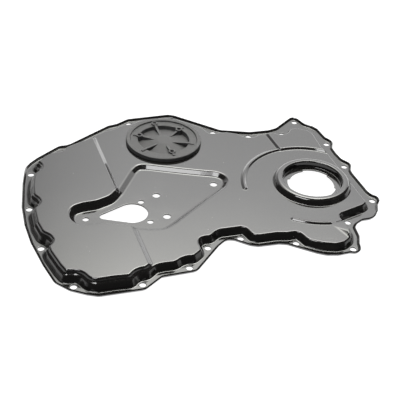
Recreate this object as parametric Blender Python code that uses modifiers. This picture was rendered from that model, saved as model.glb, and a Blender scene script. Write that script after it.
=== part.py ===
"""Timing cover: a pressed steel cover, with a moulded plug that closes its access hole."""

import math

import bmesh
import bpy
import numpy as np
from mathutils import Matrix, Vector
from mathutils.geometry import delaunay_2d_cdt

# Sheet and levels. Heights are rises above what they stand on.
SHEET = 0.0015
PANEL_RISE = 0.0080
PLATE_RISE = 0.0040
PAD_RISE = 0.0025
BEAD_RISE = 0.0018
SEAT_RISE = 0.0037
LIP_RISE = 0.0030

# Slopes of the walls, and how far the features stand in from each other.
WALL_SLOPE = math.radians(65)
PLATE_EDGE_SLOPE = math.radians(69)
PLATE_INSET = 0.0014
STEP_RUN = 0.0048
SEAT_WALL_RUN = 0.0050
PAD_WALL_RUN = 0.0026
PAD_INSET = 0.0006
LIP_SPREAD = 0.0016

# Bend radii of the top surface.
TOP_BEND = 0.0025
SEAT_BEND = 0.0033
FOOT_BEND = 0.0020
LIP_BEND = 0.0012

# Corner radii of the outlines, seen from above.
FLANGE_CORNER = 0.009
PANEL_CORNER = 0.012
SEAT_CORNER = 0.020

# Collar round the crank bore.
CRANK_CENTRE = (0.1234, 0.0344)
COLLAR_FOOT_RADIUS = 0.0438
COLLAR_TOP_RADIUS = 0.0380
COLLAR_MOUTH_RADIUS = 0.0333
COLLAR_RISE = 0.0065
COLLAR_DRAFT = 0.0004
LEDGE_DROP = 0.0010
BORE_RADIUS = 0.0273
TAB_RADIUS = 0.0252
TAB_MIDDLES = (18, 137, 256)
TAB_SPAN = 52
TAB_SLANT = 3

# Curved beads: centre, radius and the angles of both ends.
ARC_BEAD_CENTRE = (0.1203, 0.0311)
ARC_BEAD_RADIUS = 0.0735
ARC_BEAD_ANGLES = (117, 193)
ARC_BEAD_HALF_WIDTH = 0.0037
SHORT_BEAD_RADIUS = 0.0732
SHORT_BEAD_ANGLES = (251, 281.5)
SHORT_BEAD_HALF_WIDTH = 0.0034

# Left border of the raised pad, from far to near.
PAD_BORDER = ((0.0764, 0.1202), (0.0860, 0.0986))

# Step between the two halves of the panel, from far to near, along its foot.
STEP_FOOT = ((-0.1242, 0.0877), (-0.0400, -0.1282))

# Holes.
BOLT_HOLE_RADIUS = 0.0035
SEAT_STUD_HOLE_RADIUS = 0.0042
SEAT_SCREW_HOLE_RADIUS = 0.0034
TEARDROP_BIG = ((-0.0704, -0.0384), 0.0168)
TEARDROP_SMALL = ((-0.0990, -0.0478), 0.0047)

# Access hole and its plug. Heights are from the panel, and the bosses stand out from the cup's wall.
PLUG_CENTRE = (-0.0477, 0.0982)
GAP = 0.0003
PLUG_RIM_RADIUS = 0.0442
PLUG_RIM_HEIGHT = 0.0044
PLUG_RIM_WIDTH = 0.0054
PLUG_LEDGE_WIDTH = 0.0088
PLUG_LEDGE_HEIGHT = 0.0027
PLUG_CUP_DEPTH = 0.0049
PLUG_WALL = 0.0025
PLUG_HUB_RADIUS = 0.0080
PLUG_HUB_RISE = 0.0042
PLUG_EDGE = 0.0008
ACCESS_HOLE_CLEARANCE = 0.0012
SEAL_INSET = 0.0037
SEAL_WIDTH = 0.0024
SEAL_HEIGHT = 0.0019
RIB_ANGLES = (173, 113, 53.5, -10, -66, -128.5)
RIB_WIDTH = 0.0028
RIB_HEIGHT = 0.0037
RIB_END_GAP = 0.0023
BOSSES = ((113, 0.0045), (173, -0.0010), (53.5, -0.0020), (-66, -0.0015))
BOSS_RADIUS = 0.0040
BOSS_HOLE_RADIUS = 0.0022
BOSS_HEIGHT = 0.0044

# Smoothness of the faceted model.
CORNER_STEP = math.radians(36)
BEND_POINTS = 2
BEAD_STEP = math.radians(8)
COLLAR_SIDES = 36
HOLE_SIDES = 8
TEARDROP_STEP = math.radians(24)
PLUG_STEPS = 36
BOSS_SIDES = 8
SLOPE_SPAN = 0.00002
FLAT_SLOPE = 0.03
MERGE_DISTANCE = 0.000001
CAP_STEP = math.radians(45)
GUIDE_SAMPLES = 600
FAR = 1.0

# Bend line between the flange and its lip, counter-clockwise from the far side.
FLANGE_LINE = [
    (-0.0420, 0.1652), (-0.0475, 0.1650), (-0.0945, 0.1482), (-0.1062, 0.1356), (-0.1160, 0.1300),
    (-0.1545, 0.0845), (-0.1590, 0.0812), (-0.1668, 0.0785), (-0.1868, 0.0512), (-0.1922, 0.0415),
    (-0.1952, 0.0330), (-0.1948, 0.0250), (-0.1923, 0.0030), (-0.1848, -0.0392), (-0.1759, -0.0686),
    (-0.1643, -0.0961), (-0.1460, -0.1290), (-0.1315, -0.1515), (-0.1165, -0.1602), (-0.1002, -0.1641),
    (-0.0890, -0.1652), (-0.0470, -0.1515), (-0.0327, -0.1320), (0.0008, -0.1196), (0.0206, -0.0790),
    (0.0272, -0.0695), (0.0323, -0.0665), (0.0385, -0.0665), (0.0550, -0.0731), (0.0630, -0.0738),
    (0.0849, -0.0673), (0.0933, -0.0673), (0.1233, -0.0779), (0.1331, -0.0799), (0.1450, -0.0786),
    (0.1575, -0.0735), (0.1640, -0.0737), (0.1668, -0.0685), (0.1660, -0.0600), (0.1671, -0.0480),
    (0.1638, -0.0322), (0.1672, -0.0250), (0.1745, -0.0175), (0.1840, -0.0140), (0.1880, -0.0100),
    (0.1922, 0.0010), (0.1930, 0.0110), (0.1964, 0.0200), (0.1945, 0.0240), (0.1890, 0.0265),
    (0.1848, 0.0325), (0.1705, 0.0675), (0.1690, 0.0745), (0.1707, 0.0855), (0.1680, 0.0885),
    (0.1610, 0.0940), (0.1550, 0.1065), (0.1508, 0.1190), (0.1528, 0.1310), (0.1500, 0.1350),
    (0.1450, 0.1390), (0.1366, 0.1573), (0.1310, 0.1625), (0.1205, 0.1678), (0.1130, 0.1782),
    (0.1085, 0.1803), (0.1055, 0.1778), (0.0880, 0.1522), (0.0783, 0.1457), (0.0546, 0.1382),
    (0.0213, 0.1380), (0.0140, 0.1398),
]

# Upper edge of the wall round the panel, counter-clockwise. It turns in round every bolt.
PANEL_LINE = [
    (-0.1300, 0.0940), (-0.1530, 0.0730), (-0.1595, 0.0665), (-0.1612, 0.0590), (-0.1715, 0.0555),
    (-0.1795, 0.0460), (-0.1865, 0.0330), (-0.1810, 0.0285), (-0.1788, 0.0225), (-0.1810, 0.0165),
    (-0.1845, 0.0110), (-0.1845, 0.0020), (-0.1825, -0.0135), (-0.1785, -0.0295), (-0.1718, -0.0352),
    (-0.1688, -0.0410), (-0.1705, -0.0460), (-0.1737, -0.0510), (-0.1725, -0.0565), (-0.1660, -0.0760),
    (-0.1578, -0.0905), (-0.1490, -0.0955), (-0.1450, -0.1015), (-0.1457, -0.1060), (-0.1485, -0.1115),
    (-0.1450, -0.1195), (-0.1325, -0.1385), (-0.1245, -0.1485), (-0.1180, -0.1473), (-0.1130, -0.1465),
    (-0.1075, -0.1485), (-0.1025, -0.1538), (-0.0980, -0.1567), (-0.0920, -0.1576), (-0.0755, -0.1520),
    (-0.0600, -0.1480), (-0.0570, -0.1412), (-0.0530, -0.1371), (-0.0460, -0.1345), (-0.0390, -0.1235),
    (-0.0310, -0.1200), (-0.0205, -0.1170), (-0.0150, -0.1105), (-0.0090, -0.1065), (-0.0025, -0.1055),
    (0.0045, -0.0955), (0.0030, -0.0895), (0.0005, -0.0835), (0.0025, -0.0765), (0.0070, -0.0735),
    (0.0130, -0.0720), (0.0175, -0.0650), (0.0220, -0.0605), (0.0380, -0.0553), (0.0450, -0.0530),
    (0.0505, -0.0550), (0.0570, -0.0645), (0.0620, -0.0655), (0.0820, -0.0590), (0.0920, -0.0580),
    (0.1025, -0.0545), (0.1080, -0.0580), (0.1140, -0.0665), (0.1220, -0.0690), (0.1300, -0.0705),
    (0.1430, -0.0705), (0.1515, -0.0665), (0.1585, -0.0575), (0.1590, -0.0460), (0.1555, -0.0365),
    (0.1490, -0.0240), (0.1510, -0.0180), (0.1655, -0.0080), (0.1770, 0.0000), (0.1813, 0.0055),
    (0.1450, 0.0990), (0.1395, 0.1075), (0.1335, 0.1275), (0.1305, 0.1375), (0.1230, 0.1435),
    (0.1130, 0.1458), (0.1025, 0.1445), (0.0995, 0.1345), (0.0945, 0.1293), (0.0880, 0.1293),
    (0.0830, 0.1322), (0.0750, 0.1305), (0.0655, 0.1285), (0.0600, 0.1218), (0.0525, 0.1195),
    (0.0450, 0.1220), (0.0390, 0.1265), (0.0250, 0.1282), (0.0170, 0.1260), (0.0110, 0.1230),
    (0.0040, 0.1235), (-0.0005, 0.1305), (-0.0050, 0.1355), (-0.0200, 0.1430), (-0.0360, 0.1497),
    (-0.0440, 0.1505), (-0.0600, 0.1485), (-0.0780, 0.1425), (-0.0865, 0.1335), (-0.0920, 0.1295),
    (-0.0985, 0.1285), (-0.1050, 0.1200), (-0.1110, 0.1150), (-0.1190, 0.1110), (-0.1265, 0.1020),
]

# Upper edge of the wall round the sunk seat, counter-clockwise from its right end.
SEAT_LINE = [
    (0.0302, 0.0280), (0.0270, 0.0375), (0.0170, 0.0433), (-0.0020, 0.0438), (-0.0250, 0.0450),
    (-0.0625, 0.0478), (-0.0735, 0.0465), (-0.0790, 0.0350), (-0.0850, 0.0110), (-0.0890, -0.0055),
    (-0.0965, -0.0215), (-0.1090, -0.0318), (-0.1240, -0.0380), (-0.1335, -0.0445), (-0.1350, -0.0560),
    (-0.1318, -0.0660), (-0.1245, -0.0730), (-0.1180, -0.0745), (-0.0985, -0.0693), (-0.0790, -0.0693),
    (-0.0490, -0.0700), (-0.0330, -0.0670), (-0.0235, -0.0565), (-0.0096, -0.0359), (0.0106, -0.0072),
    (0.0265, 0.0145),
]

BOLT_HOLES = [
    (-0.1897, 0.0232), (-0.1795, -0.0400), (-0.1554, -0.1024), (-0.1145, -0.1554), (-0.0492, -0.1453),
    (-0.0056, -0.1159), (0.0115, -0.0830), (0.0448, -0.0639), (0.1024, -0.0652), (0.1613, -0.0681),
    (0.1596, -0.0235), (0.1907, 0.0192), (0.1651, 0.0833), (0.1476, 0.1294), (0.1105, 0.1746),
    (0.0940, 0.1445), (0.0530, 0.1340), (0.0097, 0.1369), (-0.0424, 0.1610), (-0.0931, 0.1434),
    (-0.1068, 0.1255), (-0.1610, 0.0740),
]
SEAT_STUD_HOLES = [(-0.0478, -0.0040), (-0.0335, -0.0400), (0.0138, 0.0243)]
SEAT_SCREW_HOLES = [(-0.1174, -0.0548), (-0.0632, -0.0178), (-0.0502, -0.0511)]


def rounded(corners, radius, step, closed=True):
    """Round the corners of an outline. Returns its points, and the unit normals to their right."""
    corners = [Vector(corner) for corner in corners]
    count = len(corners)
    points = []
    normals = []
    for index, here in enumerate(corners):
        is_end = not closed and index in (0, count - 1)
        before = corners[index - 1] if index or closed else 2 * here - corners[1]
        after = corners[(index + 1) % count] if index < count - 1 or closed else 2 * here - before
        way_in = (here - before).normalized()
        way_out = (after - here).normalized()
        turn = math.atan2(way_in.x * way_out.y - way_in.y * way_out.x, way_in.dot(way_out))
        right = Vector((way_in.y, -way_in.x))
        if is_end or abs(turn) < MERGE_DISTANCE:
            points.append(here)
            normals.append(right)
            continue
        share_in = 1 if not closed and index == 1 else 2
        share_out = 1 if not closed and index == count - 2 else 2
        reach = min(
            radius * abs(math.tan(turn / 2)),
            (here - before).length / share_in,
            (after - here).length / share_out,
        )
        bend = reach / math.tan(turn / 2)
        centre = here - way_in * reach - right * bend
        pieces = round(abs(turn) / step)
        shares = [piece / pieces for piece in range(pieces + 1)] if pieces else [0.5]
        for share in shares:
            angle = turn * share
            spoke = Vector((
                right.x * math.cos(angle) - right.y * math.sin(angle),
                right.x * math.sin(angle) + right.y * math.cos(angle),
            ))
            points.append(centre + spoke * bend)
            normals.append(spoke)
    kept = [i for i in range(len(points)) if i == 0 or (points[i] - points[i - 1]).length > MERGE_DISTANCE]
    return np.array([points[i] for i in kept]), np.array([normals[i] for i in kept])


def section(corners, radii):
    """Section line of a bend or wall, as distances and heights, with BEND_POINTS in each bend."""
    line = [corners[0]]
    for index in range(1, len(corners) - 1):
        before = Vector(corners[index - 1])
        here = Vector(corners[index])
        after = Vector(corners[index + 1])
        share_in = (here - before).length / (1 if index == 1 else 2)
        share_out = (after - here).length / (1 if index == len(corners) - 2 else 2)
        turn = (here - before).angle(after - here)
        radius = min(radii[index - 1], min(share_in, share_out) / math.tan(turn / 2))
        points, _ = rounded([before, here, after], radius, turn / (BEND_POINTS - 1), closed=False)
        line += [tuple(point) for point in points[1:-1]]
    line.append(corners[-1])
    return np.array(line)


def ring(centre, radius, sides):
    """Points of a circle, counter-clockwise."""
    angles = np.arange(sides) * 2 * math.pi / sides
    return np.array(centre) + radius * np.stack([np.cos(angles), np.sin(angles)], axis=1)


def arc(centre, radius, start, end, step):
    """Points of an arc between two angles in degrees."""
    pieces = max(1, math.ceil(abs(math.radians(end - start)) / step))
    angles = np.radians(np.linspace(start, end, pieces + 1))
    return np.array(centre) + radius * np.stack([np.cos(angles), np.sin(angles)], axis=1)


def distance_to_path(places, path, closed):
    """Distance of each place from a path of straight pieces."""
    starts = path if closed else path[:-1]
    ends = np.roll(path, -1, axis=0) if closed else path[1:]
    along = ends - starts
    offset = places[:, None, :] - starts[None, :, :]
    share = np.clip((offset * along).sum(2) / (along * along).sum(1), 0, 1)
    gap = offset - share[:, :, None] * along
    return np.sqrt((gap * gap).sum(2).min(1))


def is_inside(places, loop):
    """Whether each place lies inside a closed loop."""
    x, y = places[:, 0:1], places[:, 1:2]
    x0, y0 = loop[:, 0], loop[:, 1]
    x1, y1 = np.roll(x0, -1), np.roll(y0, -1)
    rise = np.where(y1 == y0, 1, y1 - y0)
    crossed = ((y0 > y) != (y1 > y)) & (x < x0 + (y - y0) * (x1 - x0) / rise)
    return crossed.sum(1) % 2 == 1


def depth_inside(places, loop):
    """Distance from a closed loop, positive inside it."""
    distance = distance_to_path(places, loop, True)
    return np.where(is_inside(places, loop), distance, -distance)


def side_of_line(places, line):
    """Distance to the left of a line that runs through two points."""
    start, end = np.array(line[0]), np.array(line[1])
    way = (end - start) / np.linalg.norm(end - start)
    return (places - start) @ np.array((-way[1], way[0]))


def radius_from(places, centre):
    """Distance of each place from a centre."""
    return np.hypot(places[:, 0] - centre[0], places[:, 1] - centre[1])


def read_section(line, distance):
    """Height of a section line at each distance."""
    return np.interp(distance, line[:, 0], line[:, 1])


flange_loop, flange_normals = rounded(FLANGE_LINE, FLANGE_CORNER, CORNER_STEP)
panel_loop, panel_normals = rounded(PANEL_LINE, PANEL_CORNER, CORNER_STEP)
seat_loop, seat_normals = rounded(SEAT_LINE, SEAT_CORNER, CORNER_STEP)

wall_run = PANEL_RISE / math.tan(WALL_SLOPE)
plate_edge_run = PLATE_RISE / math.tan(PLATE_EDGE_SLOPE)
pad_edge_run = PAD_RISE / math.tan(PLATE_EDGE_SLOPE)
lip_section = section([(-FAR, 0), (0, 0), (LIP_SPREAD, LIP_RISE)], [LIP_BEND])
wall_section = section(
    [(-FAR, 0), (-wall_run, 0), (0, PANEL_RISE), (FAR, PANEL_RISE)], [FOOT_BEND, TOP_BEND]
)
plate_edge_section = section(
    [(-FAR, 0), (PLATE_INSET, 0), (PLATE_INSET + plate_edge_run, PLATE_RISE), (FAR, PLATE_RISE)],
    [FOOT_BEND, TOP_BEND],
)
step_section = section([(-FAR, 0), (0, 0), (STEP_RUN, PLATE_RISE), (FAR, PLATE_RISE)], [TOP_BEND] * 2)
pad_wall_section = section(
    [(-FAR, 0), (0, 0), (PAD_WALL_RUN, PAD_RISE), (FAR, PAD_RISE)], [TOP_BEND] * 2
)
pad_edge_section = section(
    [(-FAR, 0), (PAD_INSET, 0), (PAD_INSET + pad_edge_run, PAD_RISE), (FAR, PAD_RISE)],
    [TOP_BEND] * 2,
)
seat_depth = PANEL_RISE - SEAT_RISE + PLATE_RISE / 2
seat_section = section(
    [(-FAR, seat_depth), (0, seat_depth), (SEAT_WALL_RUN, 0), (FAR, 0)], [SEAT_BEND] * 2
)
plug_ledge_radius = PLUG_RIM_RADIUS - PLUG_RIM_WIDTH
plug_cup_radius = plug_ledge_radius - PLUG_LEDGE_WIDTH
seal_radius = PLUG_RIM_RADIUS - SEAL_INSET
collar_section = section(
    [
        (0, -LEDGE_DROP),
        (COLLAR_MOUTH_RADIUS - COLLAR_DRAFT, -LEDGE_DROP),
        (COLLAR_MOUTH_RADIUS, COLLAR_RISE),
        (COLLAR_TOP_RADIUS, COLLAR_RISE),
        (COLLAR_FOOT_RADIUS, 0),
        (FAR, 0),
    ],
    [FOOT_BEND / 2, FOOT_BEND, TOP_BEND, FOOT_BEND],
)


arc_bead = arc(ARC_BEAD_CENTRE, ARC_BEAD_RADIUS, *ARC_BEAD_ANGLES, BEAD_STEP)
short_bead = arc(CRANK_CENTRE, SHORT_BEAD_RADIUS, *SHORT_BEAD_ANGLES, BEAD_STEP)


def bead_height(distance, half_width):
    """Height of a rounded bead at a distance from its middle line."""
    share = np.clip(distance / half_width, 0, 1)
    return BEAD_RISE * (1 + np.cos(math.pi * share)) / 2


def press_height(places):
    """Height of the pressed sheet's upper face above its flange."""
    in_flange = depth_inside(places, flange_loop)
    in_panel = depth_inside(places, panel_loop)
    in_seat = depth_inside(places, seat_loop)
    past_step = -side_of_line(places, STEP_FOOT)
    lip = read_section(lip_section, -in_flange)
    wall = read_section(wall_section, in_panel)
    plate = np.minimum(
        read_section(plate_edge_section, in_panel),
        read_section(step_section, past_step),
    )
    pad = np.minimum.reduce([
        read_section(pad_edge_section, in_panel),
        read_section(pad_wall_section, side_of_line(places, PAD_BORDER)),
        read_section(
            pad_wall_section,
            radius_from(places, ARC_BEAD_CENTRE) - ARC_BEAD_RADIUS + ARC_BEAD_HALF_WIDTH,
        ),
    ])
    beads = np.maximum(
        bead_height(distance_to_path(places, arc_bead, False), ARC_BEAD_HALF_WIDTH),
        bead_height(distance_to_path(places, short_bead, False), SHORT_BEAD_HALF_WIDTH),
    )
    collar = read_section(collar_section, radius_from(places, CRANK_CENTRE))
    panel = wall + plate + np.maximum(pad, beads) + collar
    kept = read_section(seat_section, in_seat) / seat_depth
    return lip + SEAT_RISE * (1 - kept) + panel * kept


def press_slopes(places):
    """Slope of the pressed face along X and along Y."""
    slopes = []
    for axis in (0, 1):
        shift = np.zeros(2)
        shift[axis] = SLOPE_SPAN
        rise = press_height(places + shift) - press_height(places - shift)
        slopes.append(rise / (2 * SLOPE_SPAN))
    slopes = np.stack(slopes, axis=1)
    slopes[np.hypot(slopes[:, 0], slopes[:, 1]) < FLAT_SLOPE] = 0
    return slopes


class Plan:
    """Lines, seen from above, that the mesh of the sheet follows."""

    def __init__(self):
        self.points = []
        self.edges = []

    def add(self, path, closed=True):
        """Add one line."""
        first = len(self.points)
        count = len(path)
        self.points += [Vector(point) for point in path]
        self.edges += [(first + i, first + i + 1) for i in range(count - 1)]
        if closed:
            self.edges.append((first + count - 1, first))

    def add_kept(self, path, kept):
        """Add the stretches of a closed line whose points are kept."""
        if kept.all():
            self.add(path)
            return
        start = int(np.argmin(kept))
        path = np.roll(path, -start, axis=0)
        kept = np.roll(kept, -start)
        stretch = []
        for point, is_kept in zip(path, kept):
            if is_kept:
                stretch.append(point)
            elif len(stretch) > 1:
                self.add(stretch, False)
                stretch = []
        if len(stretch) > 1:
            self.add(stretch, False)


def bore_outline():
    """Edge of the crank bore, with its three tabs."""
    outline = []
    for tab, middle in enumerate(TAB_MIDDLES):
        following = TAB_MIDDLES[(tab + 1) % len(TAB_MIDDLES)] + 360 * (tab + 1 == len(TAB_MIDDLES))
        start = middle - TAB_SPAN / 2
        end = middle + TAB_SPAN / 2
        outline += list(arc(CRANK_CENTRE, TAB_RADIUS, start, end, CORNER_STEP / 2))
        outline += list(arc(
            CRANK_CENTRE,
            BORE_RADIUS,
            end + TAB_SLANT,
            following - TAB_SPAN / 2 - TAB_SLANT,
            CORNER_STEP / 2,
        ))
    return np.array(outline)


def teardrop_outline():
    """Edge of the teardrop opening: a large and a small circle joined by their shared tangents."""
    big, big_radius = Vector(TEARDROP_BIG[0]), TEARDROP_BIG[1]
    small, small_radius = Vector(TEARDROP_SMALL[0]), TEARDROP_SMALL[1]
    along = big - small
    heading = math.degrees(math.atan2(along.y, along.x))
    spread = 90 + math.degrees(math.asin((big_radius - small_radius) / along.length))
    big_end = arc(big, big_radius, heading - spread, heading + spread, TEARDROP_STEP)
    small_end = arc(small, small_radius, heading + spread, heading + 360 - spread, TEARDROP_STEP)
    return np.concatenate([big_end, small_end])


def hole_outlines():
    """Edges of every hole in the sheet."""
    access_radius = plug_cup_radius + PLUG_WALL + ACCESS_HOLE_CLEARANCE
    holes = [bore_outline(), teardrop_outline(), ring(PLUG_CENTRE, access_radius, COLLAR_SIDES)]
    holes += [ring(centre, BOLT_HOLE_RADIUS, HOLE_SIDES) for centre in BOLT_HOLES]
    holes += [ring(centre, SEAT_STUD_HOLE_RADIUS, HOLE_SIDES) for centre in SEAT_STUD_HOLES]
    holes += [ring(centre, SEAT_SCREW_HOLE_RADIUS, HOLE_SIDES) for centre in SEAT_SCREW_HOLES]
    return holes


def parallel_line(line, distance):
    """Ends of the straight line at a distance to the left of another, and its unit direction."""
    start, end = np.array(line[0]), np.array(line[1])
    way = (end - start) / np.linalg.norm(end - start)
    shift = np.array((-way[1], way[0])) * distance
    return start + shift, end + shift, way


def straight_stretch(line, distance, keeps):
    """The stretch of a parallel line, given by its two ends, whose points are kept."""
    start, end, way = parallel_line(line, distance)
    reach = np.linalg.norm(end - start)
    places = np.linspace(-reach / 4, reach * 5 / 4, GUIDE_SAMPLES)[:, None] * way + start
    inside = places[keeps(places)]
    return np.array([inside[0], inside[-1]])


def bead_rim(path, distance):
    """Line round a bead at a distance from its middle line, with round ends."""
    way = np.gradient(path, axis=0)
    way /= np.linalg.norm(way, axis=1)[:, None]
    left = np.stack([-way[:, 1], way[:, 0]], axis=1) * distance
    tip = math.degrees(math.atan2(way[-1, 1], way[-1, 0]))
    tail = math.degrees(math.atan2(way[0, 1], way[0, 0]))
    end_cap = arc(path[-1], distance, tip - 90, tip + 90, CAP_STEP)[1:-1]
    start_cap = arc(path[0], distance, tail + 90, tail + 270, CAP_STEP)[1:-1]
    return np.concatenate([path - left, end_cap, (path + left)[::-1], start_cap])


def is_on_plate(places):
    """Whether places lie on the higher half of the panel or on the step up to it."""
    return -side_of_line(places, STEP_FOOT) > -STEP_RUN


def is_near_pad(places):
    """Whether places lie on the raised pad or just beside it."""
    from_bead = radius_from(places, ARC_BEAD_CENTRE) - ARC_BEAD_RADIUS + ARC_BEAD_HALF_WIDTH
    return (side_of_line(places, PAD_BORDER) > -PAD_WALL_RUN) & (from_bead > -PAD_WALL_RUN)


def sheet_plan(holes):
    """Every line that the mesh of the pressed sheet follows."""
    plan = Plan()
    for distance in lip_section[1:, 0]:
        plan.add(flange_loop + flange_normals * distance)
    for distance in wall_section[1:-1, 0]:
        plan.add(panel_loop - panel_normals * distance)
    for distance in plate_edge_section[1:-1, 0]:
        path = panel_loop - panel_normals * distance
        plan.add_kept(path, is_on_plate(path))
    for distance in pad_edge_section[1:-1, 0]:
        path = panel_loop - panel_normals * distance
        plan.add_kept(path, is_near_pad(path) & ~is_on_plate(path))
    for distance in seat_section[1:-1, 0]:
        plan.add(seat_loop - seat_normals * distance)
    for distance in step_section[1:-1, 0]:
        plan.add(
            straight_stretch(STEP_FOOT, -distance, lambda places: depth_inside(places, panel_loop) > 0),
            False,
        )
    for distance in pad_wall_section[1:-1, 0]:
        plan.add(straight_stretch(PAD_BORDER, distance, is_on_pad_border), False)
    for radius in collar_section[1:-1, 0]:
        plan.add(ring(CRANK_CENTRE, radius, COLLAR_SIDES))
    for path, half_width in ((arc_bead, ARC_BEAD_HALF_WIDTH), (short_bead, SHORT_BEAD_HALF_WIDTH)):
        plan.add(path, False)
        for share in (0.5, 1):
            plan.add(bead_rim(path, half_width * share))
    for distance in pad_wall_section[1:-1, 0]:
        radius = ARC_BEAD_RADIUS - ARC_BEAD_HALF_WIDTH + distance
        path = ring(ARC_BEAD_CENTRE, radius, COLLAR_SIDES * 2)
        kept = (depth_inside(path, panel_loop) > 0) & (side_of_line(path, PAD_BORDER) > 0)
        plan.add_kept(path, kept & (path[:, 1] > CRANK_CENTRE[1] + COLLAR_FOOT_RADIUS))
    for hole in holes:
        plan.add(hole)
    return plan


def is_on_pad_border(places):
    """Whether places on the pad's left border lie between the bead and the panel's edge."""
    from_bead = radius_from(places, ARC_BEAD_CENTRE) - ARC_BEAD_RADIUS + ARC_BEAD_HALF_WIDTH
    return (depth_inside(places, panel_loop) > 0) & (from_bead > 0)


def make_material(name, colour, roughness, metallic=0.0):
    """Principled material."""
    material = bpy.data.materials.new(name)
    material.use_nodes = True
    shader = material.node_tree.nodes["Principled BSDF"]
    shader.inputs["Base Color"].default_value = (*colour, 1)
    shader.inputs["Roughness"].default_value = roughness
    shader.inputs["Metallic"].default_value = metallic
    material.diffuse_color = (*colour, 1)
    return material


def add_object(name, mesh, collection, material=None):
    """Object for a mesh, in a collection."""
    thing = bpy.data.objects.new(name, mesh)
    collection.objects.link(thing)
    if material:
        mesh.materials.append(material)
    return thing


def make_cover(collection, material):
    """The pressed cover: its upper face from the plan, then one sheet thickness below it."""
    holes = hole_outlines()
    plan = sheet_plan(holes)
    points, _, triangles, _, _, _ = delaunay_2d_cdt(plan.points, plan.edges, [], 0, MERGE_DISTANCE)
    places = np.array(points)
    triangles = np.array(triangles)
    middles = places[triangles].mean(axis=1)
    kept = is_inside(middles, flange_loop + flange_normals * LIP_SPREAD)
    for hole in holes:
        kept &= ~is_inside(middles, hole)
    triangles = triangles[kept]
    used = np.unique(triangles)
    heights = press_height(places[used]) + SHEET
    slopes = press_slopes(places[used])
    normals = np.column_stack([-slopes, np.ones(len(used))])
    normals /= np.linalg.norm(normals, axis=1)[:, None]

    body = bmesh.new()
    corners = {}
    for index, height in zip(used, heights):
        corners[index] = body.verts.new((*places[index], height))
    lower = [corners[index] for index in used]
    faces = [body.faces.new([corners[index] for index in triangle]) for triangle in triangles]
    bmesh.ops.extrude_face_region(body, geom=faces, use_keep_orig=True)
    for corner, normal in zip(lower, normals):
        corner.co -= Vector(normal) * SHEET
    bmesh.ops.recalc_face_normals(body, faces=body.faces)
    mesh = bpy.data.meshes.new("cover_pressing")
    body.to_mesh(mesh)
    body.free()
    return add_object("cover_pressing", mesh, collection, material)


def turned(name, profile, steps, collection):
    """Solid turned from a closed profile of radius and height, which runs down its outer side."""
    mesh = bpy.data.meshes.new(name)
    points = [(radius, 0, height) for radius, height in profile]
    edges = [(i, (i + 1) % len(points)) for i in range(len(points))]
    if profile[0][0] == 0:
        edges.pop()
    mesh.from_pydata(points, edges, [])
    thing = add_object(name, mesh, collection)
    screw = thing.modifiers.new("turn", "SCREW")
    screw.steps = steps
    screw.render_steps = steps
    screw.use_merge_vertices = True
    screw.merge_threshold = MERGE_DISTANCE
    return thing


def plug_profile():
    """Section of the plug, from the top of its middle outwards, down and back to the middle."""
    cup_floor = PLUG_LEDGE_HEIGHT - PLUG_CUP_DEPTH
    hub_top = cup_floor + PLUG_HUB_RISE
    cup_outer = plug_cup_radius + PLUG_WALL
    groove_inner = seal_radius - SEAL_WIDTH / 2 - GAP
    groove_outer = seal_radius + SEAL_WIDTH / 2 + GAP
    groove_top = 2 * GAP + SEAL_HEIGHT
    return [
        (0, hub_top),
        (PLUG_HUB_RADIUS, hub_top),
        (plug_cup_radius - 2 * PLUG_EDGE, cup_floor),
        (plug_cup_radius - PLUG_EDGE / 2, cup_floor + PLUG_EDGE / 2),
        (plug_cup_radius, PLUG_LEDGE_HEIGHT - PLUG_EDGE),
        (plug_cup_radius + PLUG_EDGE, PLUG_LEDGE_HEIGHT),
        (plug_ledge_radius - PLUG_EDGE / 2, PLUG_LEDGE_HEIGHT),
        (plug_ledge_radius, PLUG_LEDGE_HEIGHT + PLUG_EDGE / 2),
        (plug_ledge_radius + PLUG_EDGE / 2, PLUG_RIM_HEIGHT),
        (PLUG_RIM_RADIUS - PLUG_EDGE, PLUG_RIM_HEIGHT),
        (PLUG_RIM_RADIUS, PLUG_RIM_HEIGHT - PLUG_EDGE),
        (PLUG_RIM_RADIUS, GAP),
        (groove_outer, GAP),
        (groove_outer, groove_top),
        (groove_inner, groove_top),
        (groove_inner, GAP),
        (cup_outer, GAP),
        (cup_outer, cup_floor - PLUG_WALL + PLUG_EDGE),
        (cup_outer - PLUG_EDGE, cup_floor - PLUG_WALL),
        (plug_cup_radius - 2 * PLUG_EDGE, cup_floor - PLUG_WALL),
        (PLUG_HUB_RADIUS, hub_top - PLUG_WALL),
        (0, hub_top - PLUG_WALL),
    ]


def rib_outline():
    """Side view of one rib, as distances from the plug's axis and heights."""
    cup_floor = PLUG_LEDGE_HEIGHT - PLUG_CUP_DEPTH
    hub_top = cup_floor + PLUG_HUB_RISE
    rooted = PLUG_WALL / 2
    outer_end = plug_ledge_radius - RIB_END_GAP
    cup_wall = plug_cup_radius + rooted
    return [
        (PLUG_HUB_RADIUS, hub_top - rooted),
        (plug_cup_radius - 2 * PLUG_EDGE, cup_floor - rooted),
        (cup_wall, cup_floor - rooted),
        (cup_wall, PLUG_LEDGE_HEIGHT - rooted),
        (outer_end, PLUG_LEDGE_HEIGHT - rooted),
        (outer_end, RIB_HEIGHT - PLUG_EDGE / 2),
        (outer_end - PLUG_EDGE / 2, RIB_HEIGHT),
        (plug_cup_radius, RIB_HEIGHT),
        (PLUG_HUB_RADIUS, hub_top - PLUG_EDGE),
    ]


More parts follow.
